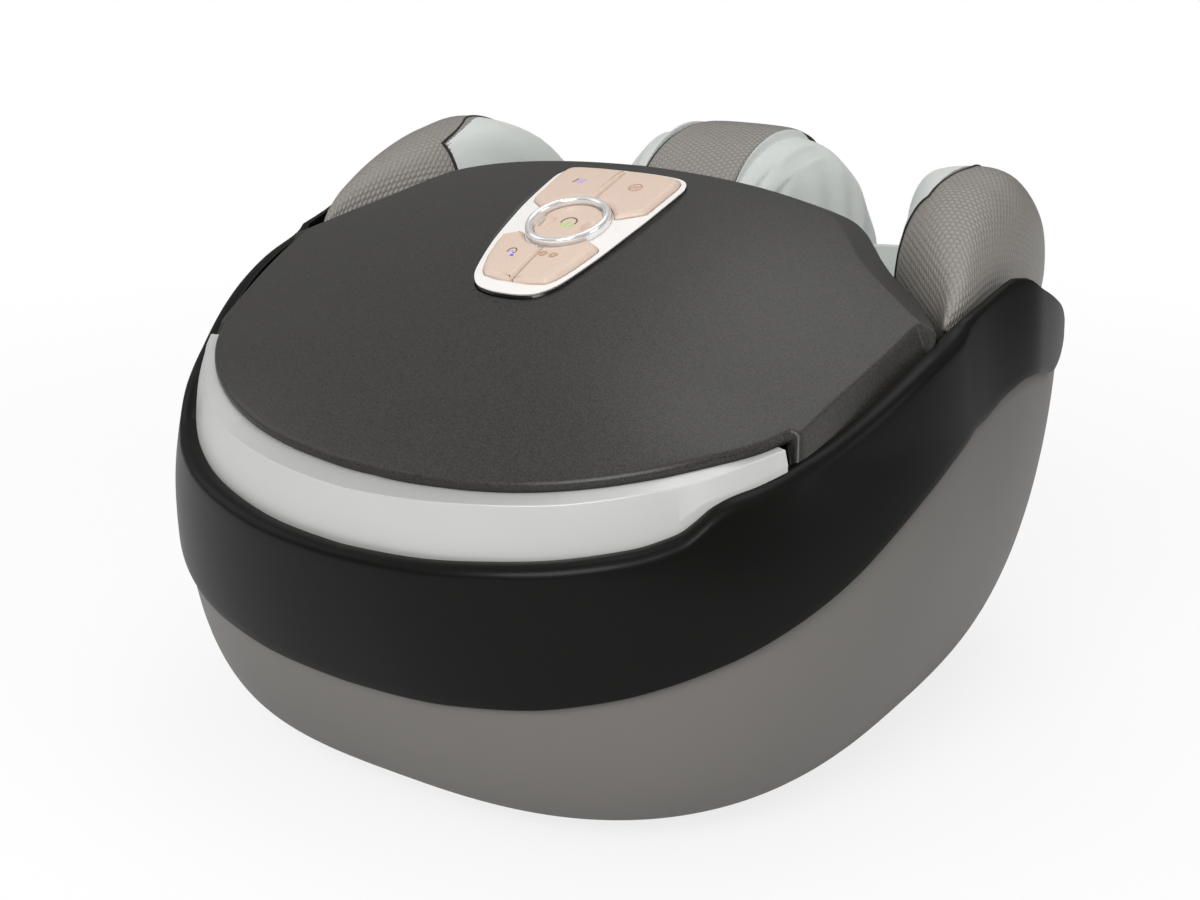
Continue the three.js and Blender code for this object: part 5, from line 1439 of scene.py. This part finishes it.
# %% Build the centre pad
LOBE_FRONT, LOBE_LENGTH, LOBE_HALF = 63.0, 133.0, 27.2
LOBE_PROFILE = [
    (0.02, 0), (0, 0.3), (0.03, 0.6), (0.12, 0.8), (0.26, 0.93), (0.42, 0.99), (0.52, 1), (0.64, 0.975),
    (0.77, 0.88), (0.88, 0.7), (0.96, 0.45), (1, 0.18), (0.985, 0),
]
LOBE_CROWN = [(-1, 0.955), (-0.93, 0.985), (-0.6, 0.997), (0, 1), (0.6, 0.997), (0.93, 0.985), (1, 0.955)]
lobe_profile = smooth_line(LOBE_PROFILE, 6)


def lobe_point(across, tall, back, up):
    y = LOBE_FRONT + LOBE_LENGTH * (0.5 + (back - 0.5) * tall)
    return Vector((across * LOBE_HALF, y, CUSHION_FOOT + LOBE_RISE * up * tall))


lobe_crown = smooth_line(LOBE_CROWN, 5)
lobe_grid = [[lobe_point(across, tall, *p) for p in lobe_profile] for across, tall in lobe_crown]
centre_pad = finish_mesh(tube_from_grid(lobe_grid), "centre_pad_cover", taupe_leather)
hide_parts("centre_pad")
for side, name in ((1, "right"), (-1, "left")):
    points = [lobe_point(side, 0.962, *p) + Vector((side * 0.5, 0, 0)) for p in lobe_profile]
    piping = cord(points, name + "_centre_pad_piping")
print("centre pad:", len(centre_pad.data.polygons), "faces")

# %% [markdown]
# ### Inner cuffs
# The inner cuffs are soft bags of fabric. A tuck runs up the front of each, as a raised band with a
# crease along both of its sides.

# %% Build the inner cuffs
CUFF_START, CUFF_REACH = 27.5, 62.0
INNER_CUFF = [
    (0.04, 0.56, 0.52), (0.1, 0.68, 0.72), (0.22, 0.82, 0.88), (0.38, 0.94, 0.965), (0.54, 1, 0.965),
    (0.66, 1, 0.9), (0.79, 0.95, 0.72), (0.87, 0.84, 0.46), (0.91, 0.72, 0.26),
]
INNER_SECTION = [
    (0, 0), (0.6, 0), (1.1, 0.05), (1.22, 0.16), (1.14, 0.36), (0.99, 0.59), (0.82, 0.77), (0.59, 0.89),
    (0.34, 0.95), (0.12, 0.965), (0, 0.945),
]
TUCK_AT, TUCK_FOOT, TUCK_LEAN, TUCK_HALF = 40.0, 235.0, 0.3, 3.2
inner_section = smooth_line(INNER_SECTION, 10, closed=True)
inner_stations = smooth_line(INNER_CUFF, 9)


def tuck(x, height, back):
    """The raised band of the tuck and the creases beside it, in millimetres off the cuff's front."""
    offset = (abs(x) - TUCK_AT - TUCK_LEAN * (height - TUCK_FOOT)) / TUCK_HALF
    profile = 2.2 * math.exp(-(offset**4)) - 2.8 * math.exp(-((abs(offset) - 1.5) ** 2) * 4)
    return profile * (1 - smoothstep(0.3, 0.6, back))


def inner_point(station, across, up):
    back, reach, tall = station
    soft = 0.8 * math.sin(14 * back + 5 * up) * across + 0.5 * math.sin(37 * back - 9 * up) * across
    x = CUFF_START + across * (reach * CUFF_REACH + soft - CUFF_START)
    height = CUSHION_FOOT + LOBE_RISE * up * tall
    raised = tuck(x, height, back)
    return Vector((x, LOBE_FRONT + LOBE_LENGTH * back - raised, height - 0.6 * raised))


inner_grid = [[inner_point(station, *p) for p in inner_section] for station in inner_stations]
right_inner = finish_mesh(tube_from_grid(inner_grid), "right_inner_cuff_cover", white_fabric)
cushion_pair(right_inner, "_inner_cuff")

# %% [markdown]
# ### Foot linings
# A fabric sock lines each foot well. It hangs from the deck, turns forward about the instep and closes at
# the toes, so its rings first lie flat, then fan round a line across the instep, then stand upright.

# %% Build the linings
WELL_X, WELL_SIDES, LINING_WALL = 97.0, 48, 1.4
INSTEP_Y, INSTEP_Z, HEEL_REACH, SOLE_REACH, TUNNEL_Z = 48.0, 168.0, 114, 85, 125
WELL_MOUTH = [(205, 49), (199, 48), (189, 45), (184, 42), (176, 42)]
WELL_TUNNEL = [
    (20, 48, 41.5), (-20, 48, 41), (-60, 47, 38), (-95, 45, 33), (-118, 41, 28), (-134, 34, 22),
    (-142, 24, 15), (-145, 10, 6),
]


def well_ring(middle, lengthwise, half_width, half_length):
    ring = []
    for k in range(WELL_SIDES):
        angle = math.tau * k / WELL_SIDES
        wide = math.copysign(abs(math.cos(angle)) ** 0.75, math.cos(angle)) * half_width
        long = math.copysign(abs(math.sin(angle)) ** 0.75, math.sin(angle)) * half_length
        ring.append(middle + Vector((wide, 0, 0)) + lengthwise * long)
    return ring


mouth = Vector((96, 106, 0))
well_grid = [
    well_ring(mouth + Vector((0, 0, height)), Vector((0, 1, 0)), half, half + 12)
    for height, half in WELL_MOUTH
]
for k in range(17):
    turn = math.radians(90 * k / 16)
    reach = ((math.cos(turn) / HEEL_REACH) ** 5 + (math.sin(turn) / SOLE_REACH) ** 5) ** -0.2 - 1
    ahead = Vector((0, math.cos(turn), -math.sin(turn)))
    middle = Vector((WELL_X, INSTEP_Y, INSTEP_Z)) + ahead * (reach / 2 + 1)
    well_grid.append(well_ring(middle, ahead, 42 + 6 * math.sin(turn), reach / 2))
for y, wide, tall in WELL_TUNNEL:
    well_grid.append(well_ring(Vector((WELL_X, y, TUNNEL_Z)), Vector((0, 0, -1)), wide, tall))
well_rows = smooth_line([[c for point in ring for c in point] for ring in well_grid], 3)
well_grid = [[Vector(row[k:k + 3]) for k in range(0, len(row), 3)] for row in well_rows]

sheet = tube_from_grid(well_grid, capped=False)
toe_edges = [edge for edge in sheet.edges if edge.is_boundary and edge.verts[0].co.y < -100]
bmesh.ops.holes_fill(sheet, edges=toe_edges, sides=0)
right_lining = finish_mesh(sheet, "right_foot_lining", white_fabric)
thicken(right_lining, LINING_WALL, outwards=True)
cushion_pair(right_lining, "_foot_liner")

# %% [markdown]
# ## Studio
# The photograph is a plain studio picture on white, lit by large soft lamps in front and above. The world
# and the far floor are white where the camera looks straight at them, while both light the machine only
# gently.

# %% World, floor and lamps
WORLD_LOW, WORLD_CLIMB, FLOOR_SHARE, FLOOR_FADE = 0.12, 0.5, 0.8, (0.35, 1.1)
LAMPS_AIM = Vector((0, 0, 0.12))


def seen_directly(tree):
    """One for what the camera sees itself, nought for the light that reaches the machine."""
    return tree.nodes.new("ShaderNodeLightPath").outputs["Is Camera Ray"]


world = bpy.data.worlds.new("white_studio")
bpy.context.scene.world = world
world.use_nodes = True
tree = world.node_tree
ray = tree.nodes.new("ShaderNodeTexCoord").outputs["Generated"]
upwards = new_node(tree, "SeparateXYZ", {0: ray}).outputs["Z"]
climb = math_node(tree, "MAXIMUM", upwards, 0.0)
dome = math_node(tree, "MULTIPLY_ADD", climb, WORLD_CLIMB, WORLD_LOW)
level = math_node(tree, "MAXIMUM", seen_directly(tree), dome)
feed(tree, tree.nodes["Background"], {"Color": (1, 1, 1, 1), "Strength": level})

bm = bmesh.new()
bmesh.ops.create_grid(bm, x_segments=1, y_segments=1, size=4.0)
floor = placed("studio_floor", mesh_from(bm, "studio_floor"))
white_floor, tree, shader = new_material("white_floor")
feed(tree, shader, {"Base Color": (0.9, 0.9, 0.9, 1), "Roughness": 1.0, "Specular IOR Level": 0.0})
where = tree.nodes.new("ShaderNodeTexCoord").outputs["Object"]
away = new_node(tree, "VectorMath", {0: where}, operation="LENGTH").outputs["Value"]
near, far = FLOOR_FADE
fade = {"Value": away, "From Min": near, "From Max": far, "To Min": FLOOR_SHARE}
fade = new_node(tree, "MapRange", fade, interpolation_type="SMOOTHSTEP").outputs["Result"]
share = math_node(tree, "MULTIPLY", seen_directly(tree), fade)
glow = tree.nodes.new("ShaderNodeEmission").outputs["Emission"]
mixed = new_node(tree, "MixShader", {"Fac": share, 1: shader.outputs["BSDF"], 2: glow})
feed(tree, tree.nodes["Material Output"], {"Surface": mixed.outputs["Shader"]})
floor.data.materials.append(white_floor)


def lamp(name, place, size, power):
    light = bpy.data.lights.new(name, "AREA")
    light.shape, light.size, light.size_y = "RECTANGLE", *size
    light.energy = power
    holder = placed(name, light)
    holder.location = place
    holder.rotation_euler = (LAMPS_AIM - Vector(place)).to_track_quat("-Z", "Y").to_euler()


lamp("key", (0.35, -1.6, 1.2), (1.0, 0.8), 22)
lamp("fill", (-1.5, -0.7, 1.0), (1.2, 1.2), 4)
lamp("right", (1.7, 0.1, 0.8), (0.8, 1.2), 5)
lamp("top", (0.0, 0.4, 1.9), (1.2, 1.2), 8)
print("lamps:", [light.name for light in bpy.data.lights])

# %% [markdown]
# ## Finish

# %% Update the scene
bpy.context.view_layer.update()
